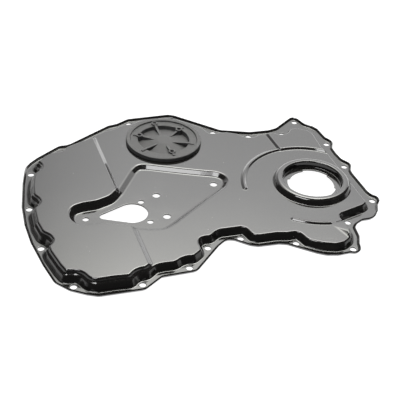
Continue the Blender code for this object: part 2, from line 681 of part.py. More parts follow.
def make_rib(name, angle, collection):
    """One rib: its side view, extruded by its width and turned to its place."""
    body = bmesh.new()
    outline = [body.verts.new((along, -RIB_WIDTH / 2, height)) for along, height in rib_outline()]
    face = body.faces.new(outline)
    pushed = bmesh.ops.extrude_face_region(body, geom=[face], use_keep_orig=True)
    moved = [item for item in pushed["geom"] if isinstance(item, bmesh.types.BMVert)]
    bmesh.ops.translate(body, verts=moved, vec=(0, RIB_WIDTH, 0))
    bmesh.ops.recalc_face_normals(body, faces=body.faces)
    mesh = bpy.data.meshes.new(name)
    body.to_mesh(mesh)
    body.free()
    rib = add_object(name, mesh, collection)
    rib.rotation_euler.z = math.radians(angle)
    return rib


def make_pin(name, angle, distance, radius, bottom, top, collection):
    """Upright cylinder at an angle and distance from the plug's axis."""
    body = bmesh.new()
    bmesh.ops.create_cone(
        body,
        cap_ends=True,
        segments=BOSS_SIDES,
        radius1=radius,
        radius2=radius,
        depth=top - bottom,
    )
    mesh = bpy.data.meshes.new(name)
    body.to_mesh(mesh)
    body.free()
    pin = add_object(name, mesh, collection)
    heading = math.radians(angle)
    pin.location = (distance * math.cos(heading), distance * math.sin(heading), (top + bottom) / 2)
    return pin


def make_plug(collection, cutters, material):
    """The access plug, with its ribs and bosses, about its own axis with the panel at height 0."""
    plug = turned("access_plug", plug_profile(), PLUG_STEPS, collection)
    plug.data.materials.append(material)
    cup_floor = PLUG_LEDGE_HEIGHT - PLUG_CUP_DEPTH
    rooted = PLUG_WALL / 2
    joined = [make_rib(f"rib_{index + 1}", angle, cutters) for index, angle in enumerate(RIB_ANGLES)]
    drilled = []
    for index, (angle, outwards) in enumerate(BOSSES):
        distance = plug_cup_radius + outwards
        on_ledge = outwards > 0
        foot = PLUG_LEDGE_HEIGHT - rooted if on_ledge else cup_floor - rooted
        floor = PLUG_LEDGE_HEIGHT if on_ledge else cup_floor + rooted
        joined.append(make_pin(
            f"boss_{index + 1}", angle, distance, BOSS_RADIUS, foot, BOSS_HEIGHT, cutters
        ))
        drilled.append(make_pin(
            f"boss_hole_{index + 1}",
            angle,
            distance,
            BOSS_HOLE_RADIUS,
            floor,
            BOSS_HEIGHT + PLUG_WALL,
            cutters,
        ))
    for operation, things in (("UNION", joined), ("DIFFERENCE", drilled)):
        for thing in things:
            cut = plug.modifiers.new(thing.name, "BOOLEAN")
            cut.operation = operation
            cut.solver = "EXACT"
            cut.object = thing
            thing.parent = plug
            thing.hide_render = True
            thing.display_type = "WIRE"
    return plug


def make_seal(collection, material):
    """The rubber ring under the plug's rim."""
    inner = seal_radius - SEAL_WIDTH / 2
    outer = seal_radius + SEAL_WIDTH / 2
    profile = [
        (inner, GAP + SEAL_HEIGHT),
        (outer, GAP + SEAL_HEIGHT),
        (outer, GAP),
        (inner, GAP),
    ]
    seal = turned("plug_seal_ring", profile, PLUG_STEPS, collection)
    seal.data.materials.append(material)
    return seal


def main():
    """Build the cover and its plug, with the middle of the sealing face's box at the origin."""
    for old in list(bpy.data.objects):
        bpy.data.objects.remove(old)
    parts = bpy.data.collections.new("timing_cover")
    cutters = bpy.data.collections.new("cutters")
    for collection in (parts, cutters):
        bpy.context.scene.collection.children.link(collection)

    paint = make_material("cover_paint", (0.02, 0.02, 0.02), 0.32)
    plastic = make_material("plug_plastic", (0.05, 0.05, 0.05), 0.45)
    rubber = make_material("seal_rubber", (0.01, 0.01, 0.01), 0.8)

    cover = make_cover(parts, paint)
    corners = np.array([corner.co for corner in cover.data.vertices])
    middle = Vector((corners.min(axis=0) + corners.max(axis=0)) / 2)
    middle.z = corners[:, 2].min()
    cover.data.transform(Matrix.Translation(-middle))

    panel_top = SHEET + PANEL_RISE
    seat = Vector((*PLUG_CENTRE, panel_top)) - middle
    for thing in (make_plug(parts, cutters, plastic), make_seal(parts, rubber)):
        thing.location = seat


main()
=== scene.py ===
import math

import bpy
import numpy as np
from mathutils import Matrix, Vector
from mathutils.geometry import delaunay_2d_cdt


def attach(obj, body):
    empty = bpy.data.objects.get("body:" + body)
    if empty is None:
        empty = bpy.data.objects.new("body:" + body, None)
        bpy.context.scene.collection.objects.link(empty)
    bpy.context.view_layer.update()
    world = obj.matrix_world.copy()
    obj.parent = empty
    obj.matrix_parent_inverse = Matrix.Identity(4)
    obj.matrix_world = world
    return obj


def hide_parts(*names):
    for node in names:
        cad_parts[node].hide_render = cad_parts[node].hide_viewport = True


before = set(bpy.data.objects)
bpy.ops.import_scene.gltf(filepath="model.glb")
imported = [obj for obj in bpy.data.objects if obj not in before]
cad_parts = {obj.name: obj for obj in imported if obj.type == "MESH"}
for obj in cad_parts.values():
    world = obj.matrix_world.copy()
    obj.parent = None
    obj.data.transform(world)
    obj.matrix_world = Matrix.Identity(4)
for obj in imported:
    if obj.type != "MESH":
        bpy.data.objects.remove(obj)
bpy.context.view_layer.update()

# The measured plan is moved by this much, so that the middle of the cover's box is the origin.
PLAN_SHIFT = (-0.00017, -0.00736)

# Sheet and levels. Heights are rises above what they stand on.
SHEET = 0.0015
PANEL_RISE = 0.0080
PLATE_RISE = 0.0040
PAD_RISE = 0.0025
BEAD_RISE = 0.0018
SEAT_RISE = 0.0037
LIP_RISE = 0.0030

# Slopes of the walls, and how far the features stand in from each other.
WALL_SLOPE = math.radians(65)
PLATE_EDGE_SLOPE = math.radians(69)
PLATE_INSET = 0.0014
STEP_RUN = 0.0048
SEAT_WALL_RUN = 0.0050
PAD_WALL_RUN = 0.0026
PAD_INSET = 0.0006
LIP_SPREAD = 0.0016

# Bend radii of the top surface.
TOP_BEND = 0.0025
SEAT_BEND = 0.0033
FOOT_BEND = 0.0020
LIP_BEND = 0.0012

# Corner radii of the outlines, seen from above.
FLANGE_CORNER = 0.009
PANEL_CORNER = 0.012
SEAT_CORNER = 0.020

# Collar round the crank bore.
CRANK_CENTRE = (0.1234, 0.0344)
COLLAR_FOOT_RADIUS = 0.0438
COLLAR_MOUTH_RADIUS = 0.0333
COLLAR_RISE = 0.0065
COLLAR_DRAFT = 0.0004
COLLAR_SHOULDER_RADIUS = 0.04005
COLLAR_SHOULDER_BEND = 0.0050
LEDGE_DROP = 0.0010
BORE_RADIUS = 0.0273
TAB_RADIUS = 0.0252
TAB_MIDDLES = (18, 137, 256)
TAB_SPAN = 52
TAB_SLANT = 3

# Curved beads: centre, radius and the angles of both ends.
ARC_BEAD_CENTRE = (0.1203, 0.0311)
ARC_BEAD_RADIUS = 0.0735
ARC_BEAD_ANGLES = (117, 193)
ARC_BEAD_HALF_WIDTH = 0.0037
SHORT_BEAD_RADIUS = 0.0732
SHORT_BEAD_ANGLES = (251, 281.5)
SHORT_BEAD_HALF_WIDTH = 0.0034

# Left border of the raised pad, and the foot of the step between the panel's halves.
PAD_BORDER = ((0.0764, 0.1202), (0.0860, 0.0986))
STEP_FOOT = ((-0.1242, 0.0877), (-0.0400, -0.1282))

# Holes.
BOLT_HOLE_RADIUS = 0.0035
SEAT_STUD_HOLE_RADIUS = 0.0042
SEAT_SCREW_HOLE_RADIUS = 0.0034
TEARDROP_BIG = ((-0.0704, -0.0384), 0.0168)
TEARDROP_SMALL = ((-0.0990, -0.0478), 0.0047)
EDGE_ROLL = 0.0004
EDGE_ROLL_DROP = 0.00012

# Access hole and its plug. Heights are from the panel. A rib that meets a boss on the cup's wall is
# cut inside the boss, so that its hole stays open: both cut ends are distances from the axis.
PLUG_CENTRE = (-0.0477, 0.0982)
GAP = 0.0003
PLUG_RIM_RADIUS = 0.0442
PLUG_RIM_HEIGHT = 0.0044
PLUG_RIM_WIDTH = 0.0054
PLUG_LEDGE_WIDTH = 0.0088
PLUG_LEDGE_HEIGHT = 0.0027
PLUG_CUP_DEPTH = 0.0049
PLUG_WALL = 0.0025
PLUG_HUB_RADIUS = 0.0080
PLUG_HUB_RISE = 0.0042
PLUG_EDGE = 0.0008
PLUG_DRAFT = 0.0004
PLUG_HUB_BEND = 0.0200
ACCESS_HOLE_CLEARANCE = 0.0012
SEAL_INSET = 0.0037
SEAL_WIDTH = 0.0024
SEAL_HEIGHT = 0.0019
SEAL_ROUND = 0.0006
RIB_ANGLES = (173, 113, 53.5, -10, -66, -128.5)
RIB_WIDTH = 0.0028
RIB_HEIGHT = 0.0037
RIB_END_GAP = 0.0023
RIB_DRAFT = 0.0003
RIB_EDGE = 0.0004
BOSSES = ((113, 0.0045), (173, -0.0010), (53.5, -0.0020), (-66, -0.0015))
BOSS_RADIUS = 0.0040
BOSS_HOLE_RADIUS = 0.0022
BOSS_HEIGHT = 0.0044
BOSS_WELL_RADIUS = 0.0031
CUT_RIB_ENDS = (0.0254, 0.0316)

# Smoothness.
CORNER_STEP = math.radians(6)
FINE_CORNER_STEP = math.radians(1.5)
BEND_POINTS = 7
FINE_BEND_POINTS = 90
LINE_STEP = 0.003
BEAD_STEP = math.radians(1.5)
COLLAR_SIDES = 160
HOLE_SIDES = 40
PLUG_SIDES = 160
BOSS_SIDES = 48
SMOOTH_TURN = math.radians(35)
TILE = 0.02
SLOPE_SPAN = 0.00002
MERGE_DISTANCE = 0.000001
FAR = 1.0

# Camera: how far down it looks, how it is rolled, and its distance from the middle of the plan.
CAMERA_PITCH = math.radians(36.457)
CAMERA_ROLL = math.radians(4.06)
CAMERA_DISTANCE = 0.98426
CAMERA_LENS = 81.0
CAMERA_SENSOR = 36.0
CAMERA_NEAR = 0.01

# Studio: a glowing card stands behind the cover, and a softbox in front on the left. Directions are
# headings clockwise from the far side, and heights above the floor, in degrees.
STUDIO_RADIUS = 2.0
FLOOR_SIZE = 20.0
FLOOR_DROP = 0.0003
CARD_HEADINGS = (-60, -25, -16, -8, 2, 25, 50)
CARD_SHARES = (0.25, 0.48, 0.82, 1.0, 1.0, 0.97, 0.92)
CARD_HEIGHTS = (0, 8, 16, 24, 30, 36, 42, 50, 55, 60, 72, 75)
CARD_GLOW = (4.5, 3.6, 2.8, 2.6, 2.95, 4.0, 6.3, 10.5, 16.0, 21.0, 21.0, 0.0)
CARD_STEP = 1.5
WARM_HEIGHTS = (36, 46)
WARM_TINT = (1.0, 1.0, 0.955)
SOFTBOX_HEADINGS = (187, 246)
SOFTBOX_HEIGHTS = (55, 75)
SOFTBOX_GLOW = 14.0
ROOM_GLOW = (0.08, 0.08, 0.08)
TABLE_GREY = (0.1, 0.1, 0.1)
TABLE_GLOW = (1.0, 1.0, 1.0)
MATT = 0.9

# Paint of the cover. Scales are repeats of a pattern for each metre, and each range is where a soft
# mask starts and ends. A roughness beside the main one is what that pattern adds.
PAINT_BLACK = (0.0060, 0.0057, 0.0054)
PAINT_ROUGHNESS = 0.085
PEEL_SCALE = 650
PEEL_DEPTH = 0.0000016
WAVE_SCALE = 38
WAVE_DEPTH = 0.000010
CLOUD_SCALE = 22
CLOUD_ROUGHNESS = 0.03
RUBBED_BLACK = (0.0110, 0.0104, 0.0096)
RUB_HEADING = math.radians(-38)
RUB_STRETCH = (14, 260, 60)
RUB_RANGE = (0.56, 0.74)
RUB_PATCH_RANGE = (0.46, 0.62)
RUB_ROUGHNESS = 0.05
DUST_GREY = (0.16, 0.155, 0.145)
DUST_SCALE = 210
DUST_RANGE = (0.051, 0.085)
DUST_PATCH_SCALE = 55
DUST_PATCH_RANGE = (0.60, 0.70)
DUST_ROUGHNESS = 0.3

# Plastic of the plug. Its radial streaks add roughness, and their paler colour is a painted sheen.
PLASTIC_BLACK = (0.034, 0.0335, 0.034)
PLASTIC_PALE_AND_SHEEN = (0.050, 0.0495, 0.050)
PLASTIC_ROUGHNESS = 0.56
PLASTIC_GLOSS = 0.20
GRAIN_SCALE = 2600
GRAIN_DEPTH = 0.0000045
STREAK_SCALE = 9
STREAK_RANGE = (0.35, 0.70)
SHEEN_STREAK_SHARE = 0.6
STREAK_ROUGHNESS = 0.07
MOTTLE_SCALE = 88
MOTTLE_ROUGHNESS = 0.05

# Rubber of the ring.
RUBBER_BLACK = (0.009, 0.009, 0.009)
RUBBER_WORN = (0.017, 0.017, 0.017)
RUBBER_ROUGHNESS = 0.74
WORN_SCALE = 308
WORN_RANGE = (0.4, 0.7)
WORN_ROUGHNESS = 0.12

# Bend line between the flange and its lip, counter-clockwise from the far side.
FLANGE_LINE = [
    (-0.0420, 0.1652), (-0.0475, 0.1650), (-0.0945, 0.1482), (-0.1062, 0.1356), (-0.1160, 0.1300),
    (-0.1545, 0.0845), (-0.1590, 0.0812), (-0.1668, 0.0785), (-0.1868, 0.0512), (-0.1922, 0.0415),
    (-0.1952, 0.0330), (-0.1948, 0.0250), (-0.1923, 0.0030), (-0.1848, -0.0392), (-0.1759, -0.0686),
    (-0.1643, -0.0961), (-0.1460, -0.1290), (-0.1315, -0.1515), (-0.1165, -0.1602), (-0.1002, -0.1641),
    (-0.0890, -0.1652), (-0.0470, -0.1515), (-0.0327, -0.1320), (0.0008, -0.1196), (0.0206, -0.0790),
    (0.0272, -0.0695), (0.0323, -0.0665), (0.0385, -0.0665), (0.0550, -0.0731), (0.0630, -0.0738),
    (0.0849, -0.0673), (0.0933, -0.0673), (0.1233, -0.0779), (0.1331, -0.0799), (0.1450, -0.0786),
    (0.1575, -0.0735), (0.1640, -0.0737), (0.1668, -0.0685), (0.1660, -0.0600), (0.1671, -0.0480),
    (0.1638, -0.0322), (0.1672, -0.0250), (0.1745, -0.0175), (0.1840, -0.0140), (0.1880, -0.0100),
    (0.1922, 0.0010), (0.1930, 0.0110), (0.1964, 0.0200), (0.1945, 0.0240), (0.1890, 0.0265),
    (0.1848, 0.0325), (0.1705, 0.0675), (0.1690, 0.0745), (0.1707, 0.0855), (0.1680, 0.0885),
    (0.1610, 0.0940), (0.1550, 0.1065), (0.1508, 0.1190), (0.1528, 0.1310), (0.1500, 0.1350),
    (0.1450, 0.1390), (0.1366, 0.1573), (0.1310, 0.1625), (0.1205, 0.1678), (0.1130, 0.1782),
    (0.1085, 0.1803), (0.1055, 0.1778), (0.0880, 0.1522), (0.0783, 0.1457), (0.0546, 0.1382),
    (0.0213, 0.1380), (0.0140, 0.1398),
]

# Upper edge of the wall round the panel, counter-clockwise. It turns in round every bolt.
PANEL_LINE = [
    (-0.1300, 0.0940), (-0.1530, 0.0730), (-0.1595, 0.0665), (-0.1612, 0.0590), (-0.1715, 0.0555),
    (-0.1795, 0.0460), (-0.1865, 0.0330), (-0.1810, 0.0285), (-0.1788, 0.0225), (-0.1810, 0.0165),
    (-0.1845, 0.0110), (-0.1845, 0.0020), (-0.1825, -0.0135), (-0.1785, -0.0295), (-0.1718, -0.0352),
    (-0.1688, -0.0410), (-0.1705, -0.0460), (-0.1737, -0.0510), (-0.1725, -0.0565), (-0.1660, -0.0760),
    (-0.1578, -0.0905), (-0.1490, -0.0955), (-0.1450, -0.1015), (-0.1457, -0.1060), (-0.1485, -0.1115),
    (-0.1450, -0.1195), (-0.1325, -0.1385), (-0.1245, -0.1485), (-0.1180, -0.1473), (-0.1130, -0.1465),
    (-0.1075, -0.1485), (-0.1025, -0.1538), (-0.0980, -0.1567), (-0.0920, -0.1576), (-0.0755, -0.1520),
    (-0.0600, -0.1480), (-0.0570, -0.1412), (-0.0530, -0.1371), (-0.0460, -0.1345), (-0.0390, -0.1235),
    (-0.0310, -0.1200), (-0.0205, -0.1170), (-0.0150, -0.1105), (-0.0090, -0.1065), (-0.0025, -0.1055),
    (0.0045, -0.0955), (0.0030, -0.0895), (0.0005, -0.0835), (0.0025, -0.0765), (0.0070, -0.0735),
    (0.0130, -0.0720), (0.0175, -0.0650), (0.0220, -0.0605), (0.0380, -0.0553), (0.0450, -0.0530),
    (0.0505, -0.0550), (0.0570, -0.0645), (0.0620, -0.0655), (0.0820, -0.0590), (0.0920, -0.0580),
    (0.1025, -0.0545), (0.1080, -0.0580), (0.1140, -0.0665), (0.1220, -0.0690), (0.1300, -0.0705),
    (0.1430, -0.0705), (0.1515, -0.0665), (0.1585, -0.0575), (0.1590, -0.0460), (0.1555, -0.0365),
    (0.1490, -0.0240), (0.1510, -0.0180), (0.1655, -0.0080), (0.1770, 0.0000), (0.1813, 0.0055),
    (0.1450, 0.0990), (0.1395, 0.1075), (0.1335, 0.1275), (0.1305, 0.1375), (0.1230, 0.1435),
    (0.1130, 0.1458), (0.1025, 0.1445), (0.0995, 0.1345), (0.0945, 0.1293), (0.0880, 0.1293),
    (0.0830, 0.1322), (0.0750, 0.1305), (0.0655, 0.1285), (0.0600, 0.1218), (0.0525, 0.1195),
    (0.0450, 0.1220), (0.0390, 0.1265), (0.0250, 0.1282), (0.0170, 0.1260), (0.0110, 0.1230),
    (0.0040, 0.1235), (-0.0005, 0.1305), (-0.0050, 0.1355), (-0.0200, 0.1430), (-0.0360, 0.1497),
    (-0.0440, 0.1505), (-0.0600, 0.1485), (-0.0780, 0.1425), (-0.0865, 0.1335), (-0.0920, 0.1295),
    (-0.0985, 0.1285), (-0.1050, 0.1200), (-0.1110, 0.1150), (-0.1190, 0.1110), (-0.1265, 0.1020),
]

# Upper edge of the wall round the sunk seat, counter-clockwise from its right end.
SEAT_LINE = [
    (0.0302, 0.0280), (0.0270, 0.0375), (0.0170, 0.0433), (-0.0020, 0.0438), (-0.0250, 0.0450),
    (-0.0625, 0.0478), (-0.0735, 0.0465), (-0.0790, 0.0350), (-0.0850, 0.0110), (-0.0890, -0.0055),
    (-0.0965, -0.0215), (-0.1090, -0.0318), (-0.1240, -0.0380), (-0.1335, -0.0445), (-0.1350, -0.0560),
    (-0.1318, -0.0660), (-0.1245, -0.0730), (-0.1180, -0.0745), (-0.0985, -0.0693), (-0.0790, -0.0693),
    (-0.0490, -0.0700), (-0.0330, -0.0670), (-0.0235, -0.0565), (-0.0096, -0.0359), (0.0106, -0.0072),
    (0.0265, 0.0145),
]

BOLT_HOLES = [
    (-0.1897, 0.0232), (-0.1795, -0.0400), (-0.1554, -0.1024), (-0.1145, -0.1554), (-0.0492, -0.1453),
    (-0.0056, -0.1159), (0.0115, -0.0830), (0.0448, -0.0639), (0.1024, -0.0652), (0.1613, -0.0681),
    (0.1596, -0.0235), (0.1907, 0.0192), (0.1651, 0.0833), (0.1476, 0.1294), (0.1105, 0.1746),
    (0.0940, 0.1445), (0.0530, 0.1340), (0.0097, 0.1369), (-0.0424, 0.1610), (-0.0931, 0.1434),
    (-0.1068, 0.1255), (-0.1610, 0.0740),
]
SEAT_STUD_HOLES = [(-0.0478, -0.0040), (-0.0335, -0.0400), (0.0138, 0.0243)]
SEAT_SCREW_HOLES = [(-0.1174, -0.0548), (-0.0632, -0.0178), (-0.0502, -0.0511)]


def rounded(corners, radius, step, closed=True):
    """Round the corners of an outline. Returns its points, and the unit normals to their right."""
    corners = [Vector(corner) for corner in corners]
    count = len(corners)
    points = []
    normals = []
    for index, here in enumerate(corners):
        is_end = not closed and index in (0, count - 1)
        before = corners[index - 1] if index or closed else 2 * here - corners[1]
        after = corners[(index + 1) % count] if index < count - 1 or closed else 2 * here - before
        way_in = (here - before).normalized()
        way_out = (after - here).normalized()
        turn = math.atan2(way_in.x * way_out.y - way_in.y * way_out.x, way_in.dot(way_out))
        right = Vector((way_in.y, -way_in.x))
        if is_end or abs(turn) < MERGE_DISTANCE:
            points.append(here)
            normals.append(right)
            continue
        share_in = 1 if not closed and index == 1 else 2
        share_out = 1 if not closed and index == count - 2 else 2
        reach = min(
            radius * abs(math.tan(turn / 2)),
            (here - before).length / share_in,
            (after - here).length / share_out,
        )
        bend = reach / math.tan(turn / 2)
        centre = here - way_in * reach - right * bend
        pieces = max(1, math.ceil(abs(turn) / step - MERGE_DISTANCE))
        for piece in range(pieces + 1):
            angle = turn * piece / pieces
            spoke = Vector((
                right.x * math.cos(angle) - right.y * math.sin(angle),
                right.x * math.sin(angle) + right.y * math.cos(angle),
            ))
            points.append(centre + spoke * bend)
            normals.append(spoke)
    kept = [i for i in range(len(points)) if i == 0 or (points[i] - points[i - 1]).length > MERGE_DISTANCE]
    return np.array([points[i] for i in kept]), np.array([normals[i] for i in kept])


def split_long(points, normals, longest):
    """Add points on the long straight stretches of a closed outline."""
    new_points = []
    new_normals = []
    for index, start in enumerate(points):
        end = points[(index + 1) % len(points)]
        pieces = max(1, math.ceil(np.linalg.norm(end - start) / longest))
        for piece in range(pieces):
            share = piece / pieces
            new_points.append(start + (end - start) * share)
            normal = normals[index] * (1 - share) + normals[(index + 1) % len(points)] * share
            new_normals.append(normal / np.linalg.norm(normal))
    return np.array(new_points), np.array(new_normals)


def section(corners, radii, bend_points):
    """Section line of a bend or wall, as distances and heights, with so many points in each bend."""
    line = [corners[0]]
    for index in range(1, len(corners) - 1):
        before = Vector(corners[index - 1])
        here = Vector(corners[index])
        after = Vector(corners[index + 1])
        share_in = (here - before).length / (1 if index == 1 else 2)
        share_out = (after - here).length / (1 if index == len(corners) - 2 else 2)
        turn = (here - before).angle(after - here)
        radius = min(radii[index - 1], min(share_in, share_out) / math.tan(turn / 2))
        points, _ = rounded([before, here, after], radius, turn / (bend_points - 1), closed=False)
        line += [tuple(point) for point in points[1:-1]]
    line.append(corners[-1])
    return np.array(line)


def ring(centre, radius, sides):
    """Points of a circle, counter-clockwise."""
    angles = np.arange(sides) * 2 * math.pi / sides
    return np.array(centre) + radius * np.stack([np.cos(angles), np.sin(angles)], axis=1)


def arc(centre, radius, start, end, step):
    """Points of an arc between two angles in degrees."""
    pieces = max(1, math.ceil(abs(math.radians(end - start)) / step))
    angles = np.radians(np.linspace(start, end, pieces + 1))
    return np.array(centre) + radius * np.stack([np.cos(angles), np.sin(angles)], axis=1)


def in_tiles(work, places):
    """Result of an array function over many places, one square of the plan at a time."""
    cells = np.floor(places / TILE).astype(int)
    order = np.lexsort((cells[:, 1], cells[:, 0]))
    breaks = np.flatnonzero((np.diff(cells[order], axis=0) != 0).any(axis=1)) + 1
    found = np.concatenate([work(places[some]) for some in np.split(order, breaks)])
    results = np.empty_like(found)
    results[order] = found
    return results


def distance_to_path(places, path, closed):
    """Distance of each place from a path of straight pieces."""
    starts = path if closed else path[:-1]
    ends = np.roll(path, -1, axis=0) if closed else path[1:]
    middle = places.mean(axis=0)
    spread = np.hypot(*(places - middle).T).max()
    from_middle = np.hypot(*((starts + ends) / 2 - middle).T)
    half_length = np.hypot(*(ends - starts).T) / 2
    near = from_middle - half_length <= (from_middle + half_length).min() + 2 * spread
    starts = starts[near]
    ends = ends[near]
    along = ends - starts
    offset = places[:, None, :] - starts[None, :, :]
    share = np.clip((offset * along).sum(2) / (along * along).sum(1), 0, 1)
    gap = offset - share[:, :, None] * along
    return np.sqrt((gap * gap).sum(2).min(1))


def is_inside(places, loop):
    """Whether each place lies inside a closed loop."""
    x, y = places[:, 0:1], places[:, 1:2]
    x0, y0 = loop[:, 0], loop[:, 1]
    x1, y1 = np.roll(x0, -1), np.roll(y0, -1)
    rise = np.where(y1 == y0, 1, y1 - y0)
    crossed = ((y0 > y) != (y1 > y)) & (x < x0 + (y - y0) * (x1 - x0) / rise)
    return crossed.sum(1) % 2 == 1


def depth_inside(places, loop):
    """Distance from a closed loop, positive inside it."""
    distance = distance_to_path(places, loop, True)
    return np.where(is_inside(places, loop), distance, -distance)


def side_of_line(places, line):
    """Distance to the left of a line that runs through two points."""
    start, end = np.array(line[0]), np.array(line[1])
    way = (end - start) / np.linalg.norm(end - start)
    return (places - start) @ np.array((-way[1], way[0]))


def radius_from(places, centre):
    """Distance of each place from a centre."""
    return np.hypot(places[:, 0] - centre[0], places[:, 1] - centre[1])


class Profile:
    """Section of a bend or wall: rings for the mesh to follow, and a finer line to read heights from."""

    def __init__(self, corners, radii):
        self.rings = section(corners, radii, BEND_POINTS)[1:-1, 0]
        self.line = section(corners, radii, FINE_BEND_POINTS)

    def height(self, distance):
        """Height at each distance."""
        return np.interp(distance, self.line[:, 0], self.line[:, 1])


class Outline:
    """Closed outline with rounded corners: a fine one to measure from, and a coarser one for the mesh."""

    def __init__(self, corners, radius):
        self.fine, _ = rounded(corners, radius, FINE_CORNER_STEP)
        self.points, self.normals = split_long(*rounded(corners, radius, CORNER_STEP), LINE_STEP)

    def depth(self, places):
        """Distance from the outline, positive inside it."""
        return depth_inside(places, self.fine)

    def inset(self, distance):
        """The outline moved inwards by a distance."""
        return self.points - self.normals * distance


flange = Outline(FLANGE_LINE, FLANGE_CORNER)
panel = Outline(PANEL_LINE, PANEL_CORNER)
seat = Outline(SEAT_LINE, SEAT_CORNER)

wall_run = PANEL_RISE / math.tan(WALL_SLOPE)
plate_edge_run = PLATE_RISE / math.tan(PLATE_EDGE_SLOPE)
pad_edge_run = PAD_RISE / math.tan(PLATE_EDGE_SLOPE)
seat_depth = PANEL_RISE - SEAT_RISE + PLATE_RISE / 2
lip = Profile([(-FAR, 0), (0, 0), (LIP_SPREAD, LIP_RISE)], [LIP_BEND])
wall = Profile([(-FAR, 0), (-wall_run, 0), (0, PANEL_RISE), (FAR, PANEL_RISE)], [FOOT_BEND, TOP_BEND])
plate_edge = Profile(
    [(-FAR, 0), (PLATE_INSET, 0), (PLATE_INSET + plate_edge_run, PLATE_RISE), (FAR, PLATE_RISE)],
    [FOOT_BEND, TOP_BEND],
)
step = Profile([(-FAR, 0), (0, 0), (STEP_RUN, PLATE_RISE), (FAR, PLATE_RISE)], [TOP_BEND] * 2)
pad_wall = Profile([(-FAR, 0), (0, 0), (PAD_WALL_RUN, PAD_RISE), (FAR, PAD_RISE)], [TOP_BEND] * 2)
pad_edge = Profile(
    [(-FAR, 0), (PAD_INSET, 0), (PAD_INSET + pad_edge_run, PAD_RISE), (FAR, PAD_RISE)], [TOP_BEND] * 2
)
seat_wall = Profile([(-FAR, seat_depth), (0, seat_depth), (SEAT_WALL_RUN, 0), (FAR, 0)], [SEAT_BEND] * 2)
collar = Profile(
    [
        (0, -LEDGE_DROP),
        (COLLAR_MOUTH_RADIUS - COLLAR_DRAFT, -LEDGE_DROP),
        (COLLAR_MOUTH_RADIUS, COLLAR_RISE),
        (COLLAR_SHOULDER_RADIUS, COLLAR_RISE),
        (COLLAR_FOOT_RADIUS, 0),
        (FAR, 0),
    ],
    [FOOT_BEND / 2, FOOT_BEND, COLLAR_SHOULDER_BEND, FOOT_BEND / 2],
)

# The plug's heights are from the panel, and its sections from its own axis.
panel_top = SHEET + PANEL_RISE
plug_ledge_radius = PLUG_RIM_RADIUS - PLUG_RIM_WIDTH
plug_cup_radius = plug_ledge_radius - PLUG_LEDGE_WIDTH
cup_floor = PLUG_LEDGE_HEIGHT - PLUG_CUP_DEPTH
hub_top = cup_floor + PLUG_HUB_RISE
root_depth = PLUG_WALL / 2
plug_top = Profile(
    [
        (-FAR, hub_top),
        (PLUG_HUB_RADIUS, hub_top),
        (plug_cup_radius - PLUG_DRAFT, cup_floor),
        (plug_cup_radius, PLUG_LEDGE_HEIGHT),
        (plug_ledge_radius, PLUG_LEDGE_HEIGHT),
        (plug_ledge_radius + PLUG_DRAFT, PLUG_RIM_HEIGHT),
        (PLUG_RIM_RADIUS - PLUG_DRAFT, PLUG_RIM_HEIGHT),
        (PLUG_RIM_RADIUS, GAP),
        (FAR, GAP),
    ],
    [PLUG_HUB_BEND, PLUG_EDGE, PLUG_EDGE, PLUG_EDGE / 2, PLUG_EDGE / 2, PLUG_EDGE, MERGE_DISTANCE],
)
boss_well = Profile(
    [
        (-FAR, cup_floor),
        (BOSS_WELL_RADIUS - PLUG_DRAFT, cup_floor),
        (BOSS_WELL_RADIUS, PLUG_RIM_HEIGHT),
        (FAR, PLUG_RIM_HEIGHT),
    ],
    [MERGE_DISTANCE, MERGE_DISTANCE],
)

arc_bead = arc(ARC_BEAD_CENTRE, ARC_BEAD_RADIUS, *ARC_BEAD_ANGLES, BEAD_STEP)
short_bead = arc(CRANK_CENTRE, SHORT_BEAD_RADIUS, *SHORT_BEAD_ANGLES, BEAD_STEP)


def bead_height(distance, half_width):
    """Height of a rounded bead at a distance from its middle line."""
    share = np.clip(distance / half_width, 0, 1)
    return BEAD_RISE * (1 + np.cos(math.pi * share)) / 2


def past_bead(places):
    """Distance of each place outwards from the inner rim of the long bead."""
    return radius_from(places, ARC_BEAD_CENTRE) - ARC_BEAD_RADIUS + ARC_BEAD_HALF_WIDTH


def press_height(places):
    """Height of the pressed sheet's upper face above its flange."""
    in_panel = panel.depth(places)
    past_step = -side_of_line(places, STEP_FOOT)
    plate_height = plate_edge.height(in_panel) * step.height(past_step) / PLATE_RISE
    pad_height = (
        pad_edge.height(in_panel)
        * pad_wall.height(side_of_line(places, PAD_BORDER))
        * pad_wall.height(past_bead(places))
        / PAD_RISE ** 2
    )
    bead = np.maximum(
        bead_height(distance_to_path(places, arc_bead, False), ARC_BEAD_HALF_WIDTH),
        bead_height(distance_to_path(places, short_bead, False), SHORT_BEAD_HALF_WIDTH),
    )
    ring_height = collar.height(radius_from(places, CRANK_CENTRE))
    raised = wall.height(in_panel) + plate_height + np.maximum(pad_height, bead) + ring_height
    kept = seat_wall.height(seat.depth(places)) / seat_depth
    return lip.height(-flange.depth(places)) + SEAT_RISE * (1 - kept) + raised * kept


def slopes_of(height, places):
    """Slope of a height function along X and along Y."""
    slopes = []
    for axis in (0, 1):
        shift = np.zeros(2)
        shift[axis] = SLOPE_SPAN
        rise = in_tiles(height, places + shift) - in_tiles(height, places - shift)
        slopes.append(rise / (2 * SLOPE_SPAN))
    return np.stack(slopes, axis=1)


